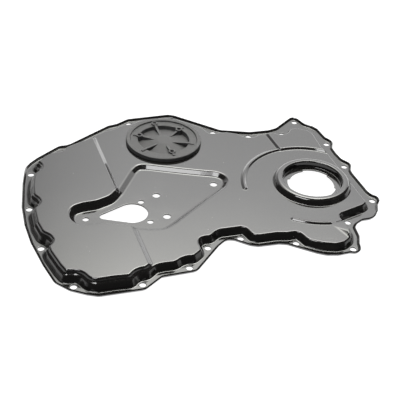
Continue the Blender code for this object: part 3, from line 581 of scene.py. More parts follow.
class Plan:
    """Lines, seen from above, that a mesh follows."""

    def __init__(self):
        self.points = []
        self.edges = []

    def add(self, path, closed=True):
        """Add one line."""
        first = len(self.points)
        count = len(path)
        self.points += [Vector(point) for point in path]
        self.edges += [(first + i, first + i + 1) for i in range(count - 1)]
        if closed:
            self.edges.append((first + count - 1, first))

    def add_kept(self, path, kept):
        """Add the stretches of a closed line whose points are kept."""
        if kept.all():
            self.add(path)
            return
        start = int(np.argmin(kept))
        path = np.roll(path, -start, axis=0)
        kept = np.roll(kept, -start)
        stretch = []
        for point, is_kept in zip(path, kept):
            if is_kept:
                stretch.append(point)
            elif len(stretch) > 1:
                self.add(stretch, False)
                stretch = []
        if len(stretch) > 1:
            self.add(stretch, False)

    def filled(self):
        """Points and triangles of the whole plan."""
        points, _, triangles, _, _, _ = delaunay_2d_cdt(self.points, self.edges, [], 0, MERGE_DISTANCE)
        return np.array(points), np.array(triangles)


def bore_outline(grow):
    """Edge of the crank bore, with its three tabs, moved outwards by a distance."""
    outline = []
    for tab, middle in enumerate(TAB_MIDDLES):
        following = TAB_MIDDLES[(tab + 1) % len(TAB_MIDDLES)] + 360 * (tab + 1 == len(TAB_MIDDLES))
        start = middle - TAB_SPAN / 2
        end = middle + TAB_SPAN / 2
        outline += list(arc(CRANK_CENTRE, TAB_RADIUS + grow, start, end, CORNER_STEP / 2))
        outline += list(arc(
            CRANK_CENTRE,
            BORE_RADIUS + grow,
            end + TAB_SLANT,
            following - TAB_SPAN / 2 - TAB_SLANT,
            CORNER_STEP / 2,
        ))
    return np.array(outline)


def teardrop_outline(grow):
    """Edge of the teardrop opening, moved outwards: two circles joined by their shared tangents."""
    big, big_radius = Vector(TEARDROP_BIG[0]), TEARDROP_BIG[1] + grow
    small, small_radius = Vector(TEARDROP_SMALL[0]), TEARDROP_SMALL[1] + grow
    along = big - small
    heading = math.degrees(math.atan2(along.y, along.x))
    spread = 90 + math.degrees(math.asin((big_radius - small_radius) / along.length))
    big_end = arc(big, big_radius, heading - spread, heading + spread, CORNER_STEP)
    small_end = arc(small, small_radius, heading + spread, heading + 360 - spread, CORNER_STEP)
    return np.concatenate([big_end, small_end])


def hole_outlines(grow):
    """Edges of every hole in the sheet, moved outwards by a distance."""
    access_radius = plug_cup_radius + PLUG_WALL + ACCESS_HOLE_CLEARANCE
    holes = [bore_outline(grow), teardrop_outline(grow)]
    holes.append(ring(PLUG_CENTRE, access_radius + grow, COLLAR_SIDES))
    holes += [ring(centre, BOLT_HOLE_RADIUS + grow, HOLE_SIDES) for centre in BOLT_HOLES]
    holes += [ring(centre, SEAT_STUD_HOLE_RADIUS + grow, HOLE_SIDES) for centre in SEAT_STUD_HOLES]
    holes += [ring(centre, SEAT_SCREW_HOLE_RADIUS + grow, HOLE_SIDES) for centre in SEAT_SCREW_HOLES]
    return holes


def straight_stretch(line, distance, keeps):
    """The stretch of a parallel line, to the left of a line, whose points are kept."""
    start, end = np.array(line[0]), np.array(line[1])
    reach = np.linalg.norm(end - start)
    way = (end - start) / reach
    start = start + np.array((-way[1], way[0])) * distance
    places = start + np.arange(-reach / 4, reach * 5 / 4, LINE_STEP / 3)[:, None] * way
    inside = places[keeps(places)]
    return np.concatenate([inside[::3], inside[-1:]])


def bead_rim(path, distance):
    """Line round a bead at a distance from its middle line, with round ends."""
    way = np.gradient(path, axis=0)
    way /= np.linalg.norm(way, axis=1)[:, None]
    left = np.stack([-way[:, 1], way[:, 0]], axis=1) * distance
    tip = math.degrees(math.atan2(way[-1, 1], way[-1, 0]))
    tail = math.degrees(math.atan2(way[0, 1], way[0, 0]))
    end_cap = arc(path[-1], distance, tip - 90, tip + 90, CORNER_STEP * 3)[1:-1]
    start_cap = arc(path[0], distance, tail + 90, tail + 270, CORNER_STEP * 3)[1:-1]
    return np.concatenate([path - left, end_cap, (path + left)[::-1], start_cap])


def is_on_plate(places):
    """Whether places lie on the higher half of the panel or on the step up to it."""
    return -side_of_line(places, STEP_FOOT) > -STEP_RUN


def is_near_pad(places):
    """Whether places lie on the raised pad or just beside it."""
    return (side_of_line(places, PAD_BORDER) > -PAD_WALL_RUN) & (past_bead(places) > -PAD_WALL_RUN)


def is_on_pad_border(places):
    """Whether places on the pad's left border lie between the bead and the panel's edge."""
    return (depth_inside(places, panel.points) > 0) & (past_bead(places) > 0)


def sheet_plan():
    """Every line that the mesh of the pressed sheet follows."""
    plan = Plan()
    for distance in (*lip.rings, LIP_SPREAD):
        plan.add(flange.inset(-distance))
    for distance in wall.rings:
        plan.add(panel.inset(distance))
    for distance in plate_edge.rings:
        path = panel.inset(distance)
        plan.add_kept(path, is_on_plate(path))
    for distance in pad_edge.rings:
        path = panel.inset(distance)
        plan.add_kept(path, is_near_pad(path) & ~is_on_plate(path))
    for distance in seat_wall.rings:
        plan.add(seat.inset(distance))
    for distance in step.rings:
        plan.add(
            straight_stretch(STEP_FOOT, -distance, lambda places: depth_inside(places, panel.points) > 0),
            False,
        )
    for distance in pad_wall.rings:
        plan.add(straight_stretch(PAD_BORDER, distance, is_on_pad_border), False)
    for radius in collar.rings:
        plan.add(ring(CRANK_CENTRE, radius, COLLAR_SIDES))
    for path, half_width in ((arc_bead, ARC_BEAD_HALF_WIDTH), (short_bead, SHORT_BEAD_HALF_WIDTH)):
        plan.add(path, False)
        for share in np.arange(1, BEND_POINTS + 1) / BEND_POINTS:
            plan.add(bead_rim(path, half_width * share))
    for distance in pad_wall.rings:
        radius = ARC_BEAD_RADIUS - ARC_BEAD_HALF_WIDTH + distance
        path = ring(ARC_BEAD_CENTRE, radius, COLLAR_SIDES * 2)
        kept = (depth_inside(path, panel.points) > 0) & (side_of_line(path, PAD_BORDER) > 0)
        plan.add_kept(path, kept & (path[:, 1] > CRANK_CENTRE[1] + COLLAR_FOOT_RADIUS))
    for grow in (0, EDGE_ROLL / 3, EDGE_ROLL * 2 / 3, EDGE_ROLL):
        for hole in hole_outlines(grow):
            plan.add(hole)
    return plan


def smooth_mesh(name, points, faces, normals):
    """Mesh with a normal for each corner of its faces."""
    mesh = bpy.data.meshes.new(name)
    mesh.from_pydata(np.asarray(points).tolist(), [], faces)
    mesh.polygons.foreach_set("use_smooth", np.ones(len(mesh.polygons), dtype=bool))
    mesh.normals_split_custom_set(np.asarray(normals).tolist())
    return mesh


def add_object(name, mesh):
    """Object for a mesh, in the scene."""
    thing = bpy.data.objects.new(name, mesh)
    bpy.context.scene.collection.objects.link(thing)
    return thing


def add_piece(name, mesh, node=None):
    """A piece of the cover, which stands for a CAD node if one is named."""
    piece = add_object(name, mesh)
    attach(piece, "root")
    if node:
        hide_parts(node)
    return piece


def edge_roll(places, holes):
    """How far the upper face rolls down towards the punched edges."""
    distance = np.full(len(places), FAR)
    for hole in holes:
        near = (places > hole.min(axis=0) - EDGE_ROLL * 2).all(axis=1)
        near &= (places < hole.max(axis=0) + EDGE_ROLL * 2).all(axis=1)
        if near.any():
            distance[near] = np.minimum(distance[near], distance_to_path(places[near], hole, True))
    share = np.clip(1 - distance / EDGE_ROLL, 0, 1)
    return EDGE_ROLL_DROP * share * share


def sheet_piece(material):
    """The pressed cover, as a fine mesh."""
    holes = hole_outlines(0)
    places, triangles = sheet_plan().filled()
    middles = places[triangles].mean(axis=1)
    kept = in_tiles(lambda some: is_inside(some, flange.inset(-LIP_SPREAD)), middles)
    for hole in holes:
        kept &= ~in_tiles(lambda some: is_inside(some, hole), middles)
    triangles = triangles[kept]
    used, triangles = np.unique(triangles, return_inverse=True)
    triangles = triangles.reshape(-1, 3)
    places = places[used]

    def top(some):
        return press_height(some) - edge_roll(some, holes)

    heights = in_tiles(top, places) + SHEET
    slopes = slopes_of(press_height, places)
    normals = np.column_stack([-slopes, np.ones(len(places))])
    normals /= np.linalg.norm(normals, axis=1)[:, None]
    roll_slopes = slopes_of(top, places)
    top_normals = np.column_stack([-roll_slopes, np.ones(len(places))])
    top_normals /= np.linalg.norm(top_normals, axis=1)[:, None]

    base_heights = in_tiles(press_height, places) + SHEET
    upper = np.column_stack([places, heights])
    lower = np.column_stack([places, base_heights]) - normals * SHEET
    count = len(places)
    points = np.concatenate([upper, lower])
    points[:, :2] += PLAN_SHIFT
    points[:, 2] -= points[:, 2].min()

    border = {}
    for a, b, c in triangles.tolist():
        for start, end in ((a, b), (b, c), (c, a)):
            if (end, start) in border:
                del border[(end, start)]
            else:
                border[(start, end)] = True
    faces = triangles.tolist()
    faces += (triangles[:, ::-1] + count).tolist()
    corner_normals = [top_normals[triangles].reshape(-1, 3), -normals[triangles[:, ::-1]].reshape(-1, 3)]
    edges = np.array(list(border))
    faces += np.column_stack([edges[:, 1], edges[:, 0], edges[:, 0] + count, edges[:, 1] + count]).tolist()
    along = points[edges[:, 1]] - points[edges[:, 0]]
    down = points[edges[:, 0] + count] - points[edges[:, 0]]
    outwards = np.cross(down, along)
    outwards /= np.linalg.norm(outwards, axis=1)[:, None]
    at_point = {}
    for (start, end), normal in zip(edges.tolist(), outwards):
        for corner in (start, end):
            at_point.setdefault(corner, []).append(normal)
    smooth = {}
    for corner, both in at_point.items():
        mean = sum(both)
        smooth[corner] = mean / np.linalg.norm(mean)
    starts = np.array([smooth[i] for i in edges[:, 0].tolist()])
    ends = np.array([smooth[i] for i in edges[:, 1].tolist()])
    corner_normals.append(np.stack([ends, starts, starts, ends], axis=1).reshape(-1, 3))
    mesh = smooth_mesh("pressed_cover", points, faces, np.concatenate(corner_normals))
    mesh.materials.append(material)
    return add_piece("pressed_cover", mesh, "cover_pressing")


def at_plug(points):
    """Points about the plug's axis, moved to the plug's place on the cover."""
    return np.asarray(points) + (*(np.array(PLUG_CENTRE) + PLAN_SHIFT), panel_top)


def stretch_normals(line):
    """Normals at the start and end of each stretch of a section, blended where it bends smoothly."""
    way = np.diff(line, axis=0)
    length = np.linalg.norm(way, axis=1)[:, None]
    square = np.stack([-way[:, 1], way[:, 0]], axis=1)
    flat = square / length
    blend = square[:-1] + square[1:]
    blend /= np.linalg.norm(blend, axis=1)[:, None]
    is_smooth = ((flat[:-1] * flat[1:]).sum(axis=1) > math.cos(SMOOTH_TURN))[:, None]
    starts = np.concatenate([flat[:1], np.where(is_smooth, blend, flat[1:])])
    ends = np.concatenate([np.where(is_smooth, blend, flat[:-1]), flat[-1:]])
    return starts, ends


def turned(line, sides):
    """Points, faces and corner normals of a section turned about the axis. It runs outwards and down."""
    spokes = ring((0, 0), 1, sides)
    points = []
    rings = []
    for radius, height in line:
        count = sides if radius > 0 else 1
        rings.append([len(points) + side % count for side in range(sides)])
        points += [(*(spoke * radius), height) for spoke in spokes[:count]]
    faces = []
    normals = []
    for upper, lower, start, end in zip(rings, rings[1:], *stretch_normals(line)):
        for side in range(sides):
            after = (side + 1) % sides
            corners = [(upper[side], start, side), (lower[side], end, side)]
            if lower[side] != lower[after]:
                corners.append((lower[after], end, after))
            if upper[side] != upper[after]:
                corners.append((upper[after], start, after))
            faces.append([corner for corner, _, _ in corners])
            normals += [(*(spokes[spoke] * normal[0]), normal[1]) for _, normal, spoke in corners]
    return np.array(points), faces, np.array(normals)


def boss_places():
    """Centre of each boss about the plug's axis, and whether it stands on the ledge."""
    places = []
    for angle, outwards in BOSSES:
        heading = math.radians(angle)
        reach = plug_cup_radius + outwards
        places.append(((reach * math.cos(heading), reach * math.sin(heading)), outwards > 0))
    return places


def plug_height(places):
    """Height of the plug's top, without its ribs and bosses but with wells for the bosses' holes."""
    height = plug_top.height(radius_from(places, (0, 0)))
    for centre, is_on_ledge in boss_places():
        if not is_on_ledge:
            height = np.minimum(height, boss_well.height(radius_from(places, centre)))
    return height


def plug_body(material):
    """The plug's moulded disc and cup, as one closed mesh."""
    plan = Plan()
    for radius in plug_top.rings:
        if radius < PLUG_RIM_RADIUS - 10 * MERGE_DISTANCE:
            plan.add(ring((0, 0), radius, PLUG_SIDES))
    plan.add(ring((0, 0), PLUG_RIM_RADIUS, PLUG_SIDES))
    for centre, is_on_ledge in boss_places():
        if not is_on_ledge:
            for radius in (BOSS_WELL_RADIUS - PLUG_DRAFT, BOSS_WELL_RADIUS):
                plan.add(ring(centre, radius, BOSS_SIDES))
    places, triangles = plan.filled()
    slopes = slopes_of(plug_height, places)
    normals = np.column_stack([-slopes, np.ones(len(places))])
    normals /= np.linalg.norm(normals, axis=1)[:, None]
    heights = plug_height(places)
    from_axis = radius_from(places, (0, 0))
    is_border = from_axis > PLUG_RIM_RADIUS - 5 * MERGE_DISTANCE
    heights[is_border] = GAP
    outwards = places / np.maximum(from_axis, MERGE_DISTANCE)[:, None]
    normals[is_border] = np.column_stack([outwards, np.zeros(len(places))])[is_border]

    seal_radius = PLUG_RIM_RADIUS - SEAL_INSET
    groove_inner = seal_radius - SEAL_WIDTH / 2 - GAP
    groove_outer = seal_radius + SEAL_WIDTH / 2 + GAP
    groove_top = 2 * GAP + SEAL_HEIGHT
    cup_outer = plug_cup_radius + PLUG_WALL
    under, under_faces, under_normals = turned(np.array([
        (PLUG_RIM_RADIUS, GAP),
        (groove_outer, GAP),
        (groove_outer, groove_top),
        (groove_inner, groove_top),
        (groove_inner, GAP),
        (cup_outer, GAP),
        (cup_outer, cup_floor - PLUG_WALL + PLUG_EDGE),
        (cup_outer - PLUG_EDGE, cup_floor - PLUG_WALL),
        (plug_cup_radius - 2 * PLUG_EDGE, cup_floor - PLUG_WALL),
        (PLUG_HUB_RADIUS, hub_top - PLUG_WALL),
        (0, hub_top - PLUG_WALL),
    ]), PLUG_SIDES)
    border = np.flatnonzero(is_border)
    headings = np.arctan2(places[border, 1], places[border, 0]) * PLUG_SIDES / (2 * math.pi)
    places_of = {int(round(heading)) % PLUG_SIDES: int(corner) for heading, corner in zip(headings, border)}
    count = len(places)
    joined = [places_of[side] for side in range(PLUG_SIDES)]
    joined += list(range(count, count + len(under) - PLUG_SIDES))
    points = np.concatenate([np.column_stack([places, heights]), under[PLUG_SIDES:]])
    faces = triangles.tolist() + [[joined[corner] for corner in face] for face in under_faces]
    corner_normals = np.concatenate([normals[triangles].reshape(-1, 3), under_normals])
    mesh = smooth_mesh("plug_body", at_plug(points), faces, corner_normals)
    mesh.materials.append(material)
    return add_piece("plug_body", mesh, "access_plug")


def rib_mesh(start=PLUG_HUB_RADIUS, end=plug_ledge_radius - RIB_END_GAP):
    """One rib with rounded edges, along X, between two distances from the axis."""
    cup_wall = plug_cup_radius + root_depth
    foot_end = plug_cup_radius - 2 * PLUG_EDGE
    reaches_ledge = end > cup_wall + RIB_EDGE
    tops = [
        (place, np.interp(place, (PLUG_HUB_RADIUS, plug_cup_radius), (hub_top - PLUG_EDGE, RIB_HEIGHT)))
        for place in (end, plug_cup_radius, start)
        if start <= place <= end
    ]
    feet = []
    if start < plug_cup_radius:
        for place in (start, min(end, foot_end)):
            floor = np.interp(place, (PLUG_HUB_RADIUS, foot_end), (hub_top, cup_floor))
            feet.append((place, floor - root_depth))
        if end > foot_end:
            feet.append((min(end, cup_wall), cup_floor - root_depth))
    if reaches_ledge:
        feet += [(place, PLUG_LEDGE_HEIGHT - root_depth) for place in (max(start, cup_wall), end)]
    loop, loop_normals = rounded(feet + tops, RIB_EDGE, CORNER_STEP * 3)
    points = []
    ring_normals = []
    for side in (-1, 1):
        for turn in np.linspace(0, math.pi / 2, BEND_POINTS)[::side]:
            line = loop - loop_normals * RIB_EDGE * (1 - math.cos(turn))
            sink = (RIB_HEIGHT - line[:, 1]) / (RIB_HEIGHT - cup_floor)
            across = RIB_WIDTH / 2 - RIB_EDGE * (1 - math.sin(turn)) + RIB_DRAFT * sink
            points.append(np.column_stack([line[:, 0], side * across, line[:, 1]]))
            flat = loop_normals * math.cos(turn)
            ring_normals.append(np.column_stack([
                flat[:, 0],
                np.full(len(loop), side * math.sin(turn)),
                flat[:, 1],
            ]))
    count = len(loop)
    faces = [list(range(count))]
    normals = [ring_normals[0]]
    for row in range(len(points) - 1):
        for here in range(count):
            after = (here + 1) % count
            faces.append([
                row * count + here,
                (row + 1) * count + here,
                (row + 1) * count + after,
                row * count + after,
            ])
            normals.append([
                ring_normals[row][here],
                ring_normals[row + 1][here],
                ring_normals[row + 1][after],
                ring_normals[row][after],
            ])
    faces.append([(len(points) - 1) * count + here for here in reversed(range(count))])
    normals.append(ring_normals[-1])
    return smooth_mesh("rib", np.concatenate(points), faces, np.concatenate(normals))


def boss_mesh(is_on_ledge):
    """One boss with a blind hole, about its own axis."""
    foot = PLUG_LEDGE_HEIGHT - root_depth if is_on_ledge else cup_floor - root_depth
    floor = PLUG_LEDGE_HEIGHT + GAP / 2 if is_on_ledge else cup_floor + root_depth
    line = section(
        [
            (0, floor),
            (BOSS_HOLE_RADIUS, floor),
            (BOSS_HOLE_RADIUS, BOSS_HEIGHT),
            (BOSS_RADIUS, BOSS_HEIGHT),
            (BOSS_RADIUS, foot),
            (0, foot),
        ],
        [MERGE_DISTANCE, RIB_EDGE, RIB_EDGE, MERGE_DISTANCE],
        BEND_POINTS,
    )
    return smooth_mesh("boss", *turned(line, BOSS_SIDES))


class Amount:
    """A number that varies over a surface. Sums and products with it add Math nodes."""

    def __init__(self, maker, socket):
        self.maker = maker
        self.socket = socket

    def worked(self, operation, first, second):
        """Result of a Math node on two numbers."""
        made = self.maker.node("ShaderNodeMath", {"operation": operation}, _0=first, _1=second)
        return Amount(self.maker, made.outputs[0])

    def __add__(self, other):
        return self.worked("ADD", self, other)

    def __radd__(self, other):
        return self.worked("ADD", other, self)

    def __rsub__(self, other):
        return self.worked("SUBTRACT", other, self)

    def __mul__(self, other):
        return self.worked("MULTIPLY", self, other)

    def __rmul__(self, other):
        return self.worked("MULTIPLY", other, self)


class Tree:
    """Node tree that is built from one node at a time: type and settings first, then its sockets."""

    def __init__(self, tree):
        self.tree = tree

    def fill(self, made, sockets):
        """Set a node's sockets. A name is written with underscores, and takes a value or a socket."""
        for name, value in sockets.items():
            socket = made.inputs[int(name[1:])] if name[1:].isdigit() else made.inputs[name.replace("_", " ")]
            if isinstance(value, Amount):
                value = value.socket
            if isinstance(value, bpy.types.NodeSocket):
                self.tree.links.new(value, socket)
            elif socket.type == "RGBA":
                socket.default_value = (*value, 1)
            else:
                socket.default_value = value
        return made

    def node(self, kind, settings=None, **sockets):
        """Add a node."""
        made = self.tree.nodes.new(kind)
        for setting, value in (settings or {}).items():
            setattr(made, setting, value)
        return self.fill(made, sockets)


def new_geometry_tree(name, inputs):
    """Geometry tree with named inputs, and its input node."""
    tree = bpy.data.node_groups.new(name, "GeometryNodeTree")
    tree.interface.new_socket("Geometry", in_out="OUTPUT", socket_type="NodeSocketGeometry")
    for label, kind in inputs.items():
        tree.interface.new_socket(label, in_out="INPUT", socket_type=kind)
    maker = Tree(tree)
    return maker, maker.node("NodeGroupInput").outputs


def finish_geometry_tree(maker, geometry, material):
    """End a tree: real geometry with a material."""
    real = maker.node("GeometryNodeRealizeInstances", Geometry=geometry)
    painted = maker.node("GeometryNodeSetMaterial", Geometry=real.outputs["Geometry"], Material=material)
    maker.node("NodeGroupOutput", Geometry=painted.outputs["Geometry"])
    return maker.tree


def spokes_tree():
    """Tree that sets copies of a piece round the axis, by the turn and distance of each point."""
    maker, given = new_geometry_tree("spokes", {
        "Points": "NodeSocketGeometry",
        "Piece": "NodeSocketObject",
        "Height": "NodeSocketFloat",
        "Material": "NodeSocketMaterial",
    })
    turn = maker.node("GeometryNodeInputNamedAttribute", {"data_type": "FLOAT"}, Name="turn")
    distance = maker.node("GeometryNodeInputNamedAttribute", {"data_type": "FLOAT"}, Name="distance")
    reach = []
    for operation in ("COSINE", "SINE"):
        part = maker.node("ShaderNodeMath", {"operation": operation}, _0=turn.outputs["Attribute"])
        reach.append(maker.node(
            "ShaderNodeMath",
            {"operation": "MULTIPLY"},
            _0=part.outputs[0],
            _1=distance.outputs["Attribute"],
        ).outputs[0])
    place = maker.node("ShaderNodeCombineXYZ", X=reach[0], Y=reach[1], Z=given["Height"])
    points = maker.node("GeometryNodeSetPosition", Geometry=given["Points"], Position=place.outputs["Vector"])
    euler = maker.node("ShaderNodeCombineXYZ", Z=turn.outputs["Attribute"])
    rotation = maker.node("FunctionNodeEulerToRotation", Euler=euler.outputs["Vector"])
    piece = maker.node("GeometryNodeObjectInfo", Object=given["Piece"])
    copies = maker.node(
        "GeometryNodeInstanceOnPoints",
        Points=points.outputs["Geometry"],
        Instance=piece.outputs["Geometry"],
        Rotation=rotation.outputs["Rotation"],
    )
    return finish_geometry_tree(maker, copies.outputs["Instances"], given["Material"])


def ring_tree():
    """Tree that sweeps a rounded rectangle round a circle."""
    maker, given = new_geometry_tree("swept_ring", {
        "Radius": "NodeSocketFloat",
        "Width": "NodeSocketFloat",
        "Height": "NodeSocketFloat",
        "Rounding": "NodeSocketFloat",
        "Material": "NodeSocketMaterial",
    })
    path = maker.node("GeometryNodeCurvePrimitiveCircle", Resolution=PLUG_SIDES, Radius=given["Radius"])
    outline = maker.node(
        "GeometryNodeCurvePrimitiveQuadrilateral",
        Width=given["Width"],
        Height=given["Height"],
    )
    soft = maker.node(
        "GeometryNodeFilletCurve",
        {"mode": "POLY"},
        Curve=outline.outputs["Curve"],
        Count=BEND_POINTS,
        Radius=given["Rounding"],
    )
    swept = maker.node(
        "GeometryNodeCurveToMesh",
        Curve=path.outputs["Curve"],
        Profile_Curve=soft.outputs["Curve"],
    )
    smooth = maker.node("GeometryNodeSetShadeSmooth", Geometry=swept.outputs["Mesh"])
    return finish_geometry_tree(maker, smooth.outputs["Geometry"], given["Material"])


def grown(name, tree, mesh, **sizes):
    """Plain mesh that a geometry tree makes from a mesh and named sizes."""
    holder = add_object(name, mesh)
    modifier = holder.modifiers.new("grow", "NODES")
    modifier.node_group = tree
    for item in tree.interface.items_tree:
        if item.in_out == "INPUT" and item.name in sizes:
            modifier[item.identifier] = sizes[item.name]
    graph = bpy.context.evaluated_depsgraph_get()
    result = bpy.data.meshes.new_from_object(holder.evaluated_get(graph))
    holder.modifiers.remove(modifier)
    bpy.data.objects.remove(holder)
    result.name = name
    result.transform(Matrix.Translation(at_plug((0, 0, 0))))
    return result


def spokes(name, tree, piece_mesh, turns, distances, material):
    """Plain mesh with copies of a piece set round the plug's axis."""
    mesh = bpy.data.meshes.new(name)
    mesh.from_pydata([(0, 0, 0)] * len(turns), [], [])
    for label, values in (("turn", np.radians(turns)), ("distance", distances)):
        mesh.attributes.new(label, "FLOAT", "POINT").data.foreach_set("value", np.array(values, dtype=float))
    piece = add_object(name + "_piece", piece_mesh)
    result = grown(name, tree, mesh, Piece=piece, Height=0.0, Material=material)
    bpy.data.objects.remove(piece)
    return result


def plug_pieces(plastic, rubber):
    """The access plug and the rubber ring under it."""
    plug_body(plastic)
    tree = spokes_tree()
    wall_angles = [angle for angle, outwards in BOSSES if outwards < 0]
    ledge_angles = [angle for angle, outwards in BOSSES if outwards > 0]
    whole_angles = [angle for angle in RIB_ANGLES if angle not in wall_angles + ledge_angles]
    for name, rib, angles in (
        ("plug_ribs", rib_mesh(), whole_angles),
        ("plug_ribs_to_wall_bosses", rib_mesh(end=CUT_RIB_ENDS[0]), wall_angles),
        ("plug_ribs_past_wall_bosses", rib_mesh(start=CUT_RIB_ENDS[1]), wall_angles),
        ("plug_rib_to_ledge_boss", rib_mesh(end=plug_cup_radius + root_depth), ledge_angles),
    ):
        add_piece(name, spokes(name, tree, rib, angles, [0] * len(angles), plastic))
    for name, is_on_ledge in (("plug_wall_bosses", False), ("plug_ledge_bosses", True)):
        set_out = [(angle, plug_cup_radius + out) for angle, out in BOSSES if (out > 0) == is_on_ledge]
        bosses = spokes(name, tree, boss_mesh(is_on_ledge), *zip(*set_out), plastic)
        add_piece(name, bosses)
    seal = grown(
        "seal_ring",
        ring_tree(),
        bpy.data.meshes.new("seal_start"),
        Radius=PLUG_RIM_RADIUS - SEAL_INSET,
        Width=SEAL_WIDTH,
        Height=SEAL_HEIGHT,
        Rounding=SEAL_ROUND,
        Material=rubber,
    )
    seal.transform(Matrix.Translation((0, 0, GAP + SEAL_HEIGHT / 2)))
    add_piece("seal_ring", seal, "plug_seal_ring")


class Finish(Tree):
    """Material whose patterns are worked out from places on the part."""

    def __init__(self, name):
        self.material = bpy.data.materials.new(name)
        self.material.use_nodes = True
        super().__init__(self.material.node_tree)
        self.shader = self.tree.nodes["Principled BSDF"]
        self.places = self.node("ShaderNodeTexCoord").outputs["Object"]

    def surface(self, **sockets):
        """Set the surface's own sockets."""
        self.fill(self.shader, sockets)
        return self.material

    def moved(self, shift=(0, 0, 0), turn=0.0, scale=(1, 1, 1)):
        """Places that are moved, turned about Z or stretched."""
        made = self.node(
            "ShaderNodeMapping", Vector=self.places, Location=shift, Rotation=(0, 0, turn), Scale=scale
        )
        return made.outputs["Vector"]

    def noise(self, places, scale, detail):
        """Cloudy pattern, about one half everywhere."""
        made = self.node("ShaderNodeTexNoise", Vector=places, Scale=float(scale), Detail=float(detail))
        return Amount(self, made.outputs["Fac"])

    def rise(self, amount, span):
        """Soft step from none to all, while an amount goes through a range."""
        made = self.node(
            "ShaderNodeMapRange",
            {"interpolation_type": "SMOOTHSTEP"},
            Value=amount,
            From_Min=span[0],
            From_Max=span[1],
        )
        return Amount(self, made.outputs["Result"])

    def mixed(self, colour, other, share):
        """Colour that goes over into another one."""
        return self.node("ShaderNodeMix", {"data_type": "RGBA"}, _0=share, _6=colour, _7=other).outputs[2]

    def specks(self, scale, span):
        """Small round specks, one for each cell at most."""
        cells = self.node("ShaderNodeTexVoronoi", Vector=self.places, Scale=float(scale))
        return 1 - self.rise(Amount(self, cells.outputs["Distance"]), span)

    def relief(self, amount, depth, below=None):
        """Normal of a relief that is as deep as named, on top of another one."""
        sockets = {"Height": amount, "Distance": depth, "Strength": 1.0}
        if below:
            sockets["Normal"] = below
        return self.node("ShaderNodeBump", **sockets).outputs["Normal"]


def cover_paint():
    """Black paint on pressed sheet: orange peel, slight waves, rubbed streaks and a little dust."""
    finish = Finish("cover_paint")
    cloud = finish.noise(finish.places, CLOUD_SCALE, 3)
    streaks = finish.noise(finish.moved(turn=RUB_HEADING, scale=RUB_STRETCH), 1, 4)
    rubbed = finish.rise(streaks, RUB_RANGE) * finish.rise(cloud, RUB_PATCH_RANGE)
    patches = finish.rise(finish.noise(finish.places, DUST_PATCH_SCALE, 1), DUST_PATCH_RANGE)
    dust = finish.specks(DUST_SCALE, DUST_RANGE) * patches
    painted = finish.mixed(PAINT_BLACK, RUBBED_BLACK, rubbed)
    waves = finish.relief(finish.noise(finish.places, WAVE_SCALE, 1), WAVE_DEPTH)
    peel = finish.relief(finish.noise(finish.places, PEEL_SCALE, 2), PEEL_DEPTH, waves)
    return finish.surface(
        Base_Color=finish.mixed(painted, DUST_GREY, dust),
        Roughness=PAINT_ROUGHNESS + CLOUD_ROUGHNESS * cloud + RUB_ROUGHNESS * rubbed + DUST_ROUGHNESS * dust,
        Normal=peel,
    )


def plug_plastic():
    """Moulded black plastic: fine grain, a mottled tone, and radial streaks that run out from the middle. The
    streaks are rougher, and their paler colour is a painted sheen.
    """
    finish = Finish("plug_plastic")
    centre = np.array(PLUG_CENTRE) + PLAN_SHIFT
    from_axis = finish.moved(shift=(-centre[0], -centre[1], 0))
    flat = finish.node("ShaderNodeVectorMath", {"operation": "MULTIPLY"}, _0=from_axis, _1=(1, 1, 0))
    heading = finish.node("ShaderNodeVectorMath", {"operation": "NORMALIZE"}, _0=flat.outputs["Vector"])
    # Radial streaks from the plug's axis. They add roughness, and their paler colour is a painted sheen along
    # the cone.
    streaks = finish.rise(finish.noise(heading.outputs["Vector"], STREAK_SCALE, 3), STREAK_RANGE)
    mottle = finish.noise(finish.places, MOTTLE_SCALE, 2)
    grain = finish.noise(finish.places, GRAIN_SCALE, 2)
    return finish.surface(
        Base_Color=finish.mixed(
            PLASTIC_BLACK,
            PLASTIC_PALE_AND_SHEEN,
            # The streaks' share of the pale colour is a painted sheen. The mottle's share is the plastic's
            # own uneven tone.
            SHEEN_STREAK_SHARE * streaks + (1 - SHEEN_STREAK_SHARE) * mottle,
        ),
        Roughness=PLASTIC_ROUGHNESS + STREAK_ROUGHNESS * streaks + MOTTLE_ROUGHNESS * mottle,
        Specular_IOR_Level=PLASTIC_GLOSS,
        Normal=finish.relief(grain, GRAIN_DEPTH),
    )


def seal_rubber():
    """Matt black rubber with a dull, slightly worn skin."""
    finish = Finish("seal_rubber")
    worn = finish.rise(finish.noise(finish.places, WORN_SCALE, 3), WORN_RANGE)
    grain = finish.noise(finish.places, GRAIN_SCALE, 1)
    return finish.surface(
        Base_Color=finish.mixed(RUBBER_BLACK, RUBBER_WORN, worn),
        Roughness=RUBBER_ROUGHNESS + WORN_ROUGHNESS * worn,
        Normal=finish.relief(grain, GRAIN_DEPTH),
    )


def stage_material(name, colour, glow):
    """Plain matt material of the studio, which glows by its own colour or by a mesh's."""
    finish = Finish(name)
    finish.surface(Base_Color=colour, Roughness=MATT, Specular_IOR_Level=0.0, Emission_Strength=1.0)
    if isinstance(glow, str):
        glow = finish.node("ShaderNodeAttribute", {"attribute_name": glow}).outputs["Color"]
    return finish.surface(Emission_Color=glow)


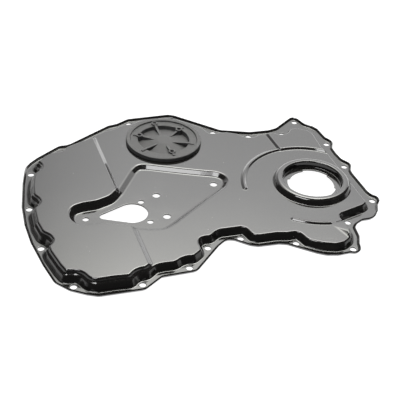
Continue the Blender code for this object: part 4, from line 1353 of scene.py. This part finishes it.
def add_camera():
    """The camera, as the photograph was taken."""
    forward = Vector((0, math.cos(CAMERA_PITCH), -math.sin(CAMERA_PITCH)))
    level = Vector((1, 0, 0))
    upright = level.cross(forward)
    across = level * math.cos(CAMERA_ROLL) + upright * math.sin(CAMERA_ROLL)
    up = upright * math.cos(CAMERA_ROLL) - level * math.sin(CAMERA_ROLL)
    data = bpy.data.cameras.new("camera")
    data.lens = CAMERA_LENS
    data.sensor_width = CAMERA_SENSOR
    data.clip_start = CAMERA_NEAR
    camera = bpy.data.objects.new("camera", data)
    bpy.context.scene.collection.objects.link(camera)
    turn = Matrix((across, up, -forward)).transposed().to_4x4()
    where = Vector((*PLAN_SHIFT, 0)) - forward * CAMERA_DISTANCE
    camera.matrix_world = Matrix.Translation(where) @ turn
    bpy.context.scene.camera = camera
    bpy.context.scene.view_settings.view_transform = "Standard"


def direction(heading, height):
    """Unit vectors towards headings and heights, in degrees."""
    heading, height = np.radians(heading), np.radians(height)
    level = np.cos(height)
    return np.stack([level * np.sin(heading), level * np.cos(heading), np.sin(height)], axis=-1)


def add_softbox():
    """Rectangular studio light that fills a window of directions, as seen from the part."""
    heading_span, height_span = np.radians([np.ptp(SOFTBOX_HEADINGS), np.ptp(SOFTBOX_HEIGHTS)])
    height = math.radians(sum(SOFTBOX_HEIGHTS) / 2)
    away = Vector(direction(sum(SOFTBOX_HEADINGS) / 2, sum(SOFTBOX_HEIGHTS) / 2))
    data = bpy.data.lights.new("softbox", "AREA")
    data.shape = "RECTANGLE"
    data.size = 2 * STUDIO_RADIUS * math.cos(height) * math.tan(heading_span / 2)
    data.size_y = 2 * STUDIO_RADIUS * math.tan(height_span / 2)
    data.energy = SOFTBOX_GLOW * math.pi * data.size * data.size_y
    lamp = add_object("softbox", data)
    lamp.location = away * STUDIO_RADIUS
    lamp.rotation_euler = (-away).to_track_quat("-Z", "Y").to_euler()


def add_card():
    """Curved card behind the cover, which glows more in its upper part."""
    headings = np.arange(CARD_HEADINGS[0], CARD_HEADINGS[-1] + CARD_STEP / 2, CARD_STEP)
    heights = np.arange(CARD_HEIGHTS[0], CARD_HEIGHTS[-1] + CARD_STEP / 2, CARD_STEP)
    heading, height = np.meshgrid(headings, heights)
    glow = np.interp(height, CARD_HEIGHTS, CARD_GLOW) * np.interp(heading, CARD_HEADINGS, CARD_SHARES)
    warmth = np.interp(height, WARM_HEIGHTS, (0, 1))[..., None]
    colours = glow[..., None] * (1 + warmth * (np.array(WARM_TINT) - 1))
    columns = len(headings)
    faces = [
        (row * columns + column, (row + 1) * columns + column,
         (row + 1) * columns + column + 1, row * columns + column + 1)
        for row in range(len(heights) - 1)
        for column in range(columns - 1)
    ]
    mesh = bpy.data.meshes.new("backdrop")
    mesh.from_pydata((direction(heading, height) * STUDIO_RADIUS).reshape(-1, 3).tolist(), [], faces)
    painted = np.concatenate([colours, np.ones_like(warmth)], axis=-1)
    mesh.attributes.new("glow", "FLOAT_COLOR", "POINT").data.foreach_set("color", painted.reshape(-1))
    mesh.materials.append(stage_material("glowing_card", (0, 0, 0), "glow"))
    add_object("backdrop", mesh)


def add_stage():
    """White light table, the card behind it and the softbox, in a dark room."""
    mesh = bpy.data.meshes.new("floor")
    size = FLOOR_SIZE / 2
    corners = [(-size, -size, 0), (size, -size, 0), (size, size, 0), (-size, size, 0)]
    mesh.from_pydata(corners, [], [(0, 1, 2, 3)])
    mesh.materials.append(stage_material("light_table", TABLE_GREY, TABLE_GLOW))
    floor = add_object("floor", mesh)
    floor.location.z = -FLOOR_DROP
    add_card()
    add_softbox()
    world = bpy.data.worlds.new("studio")
    world.use_nodes = True
    world.node_tree.nodes["Background"].inputs["Color"].default_value = (*ROOM_GLOW, 1)
    bpy.context.scene.world = world


add_camera()
add_stage()
sheet_piece(cover_paint())
plug_pieces(plug_plastic(), seal_rubber())
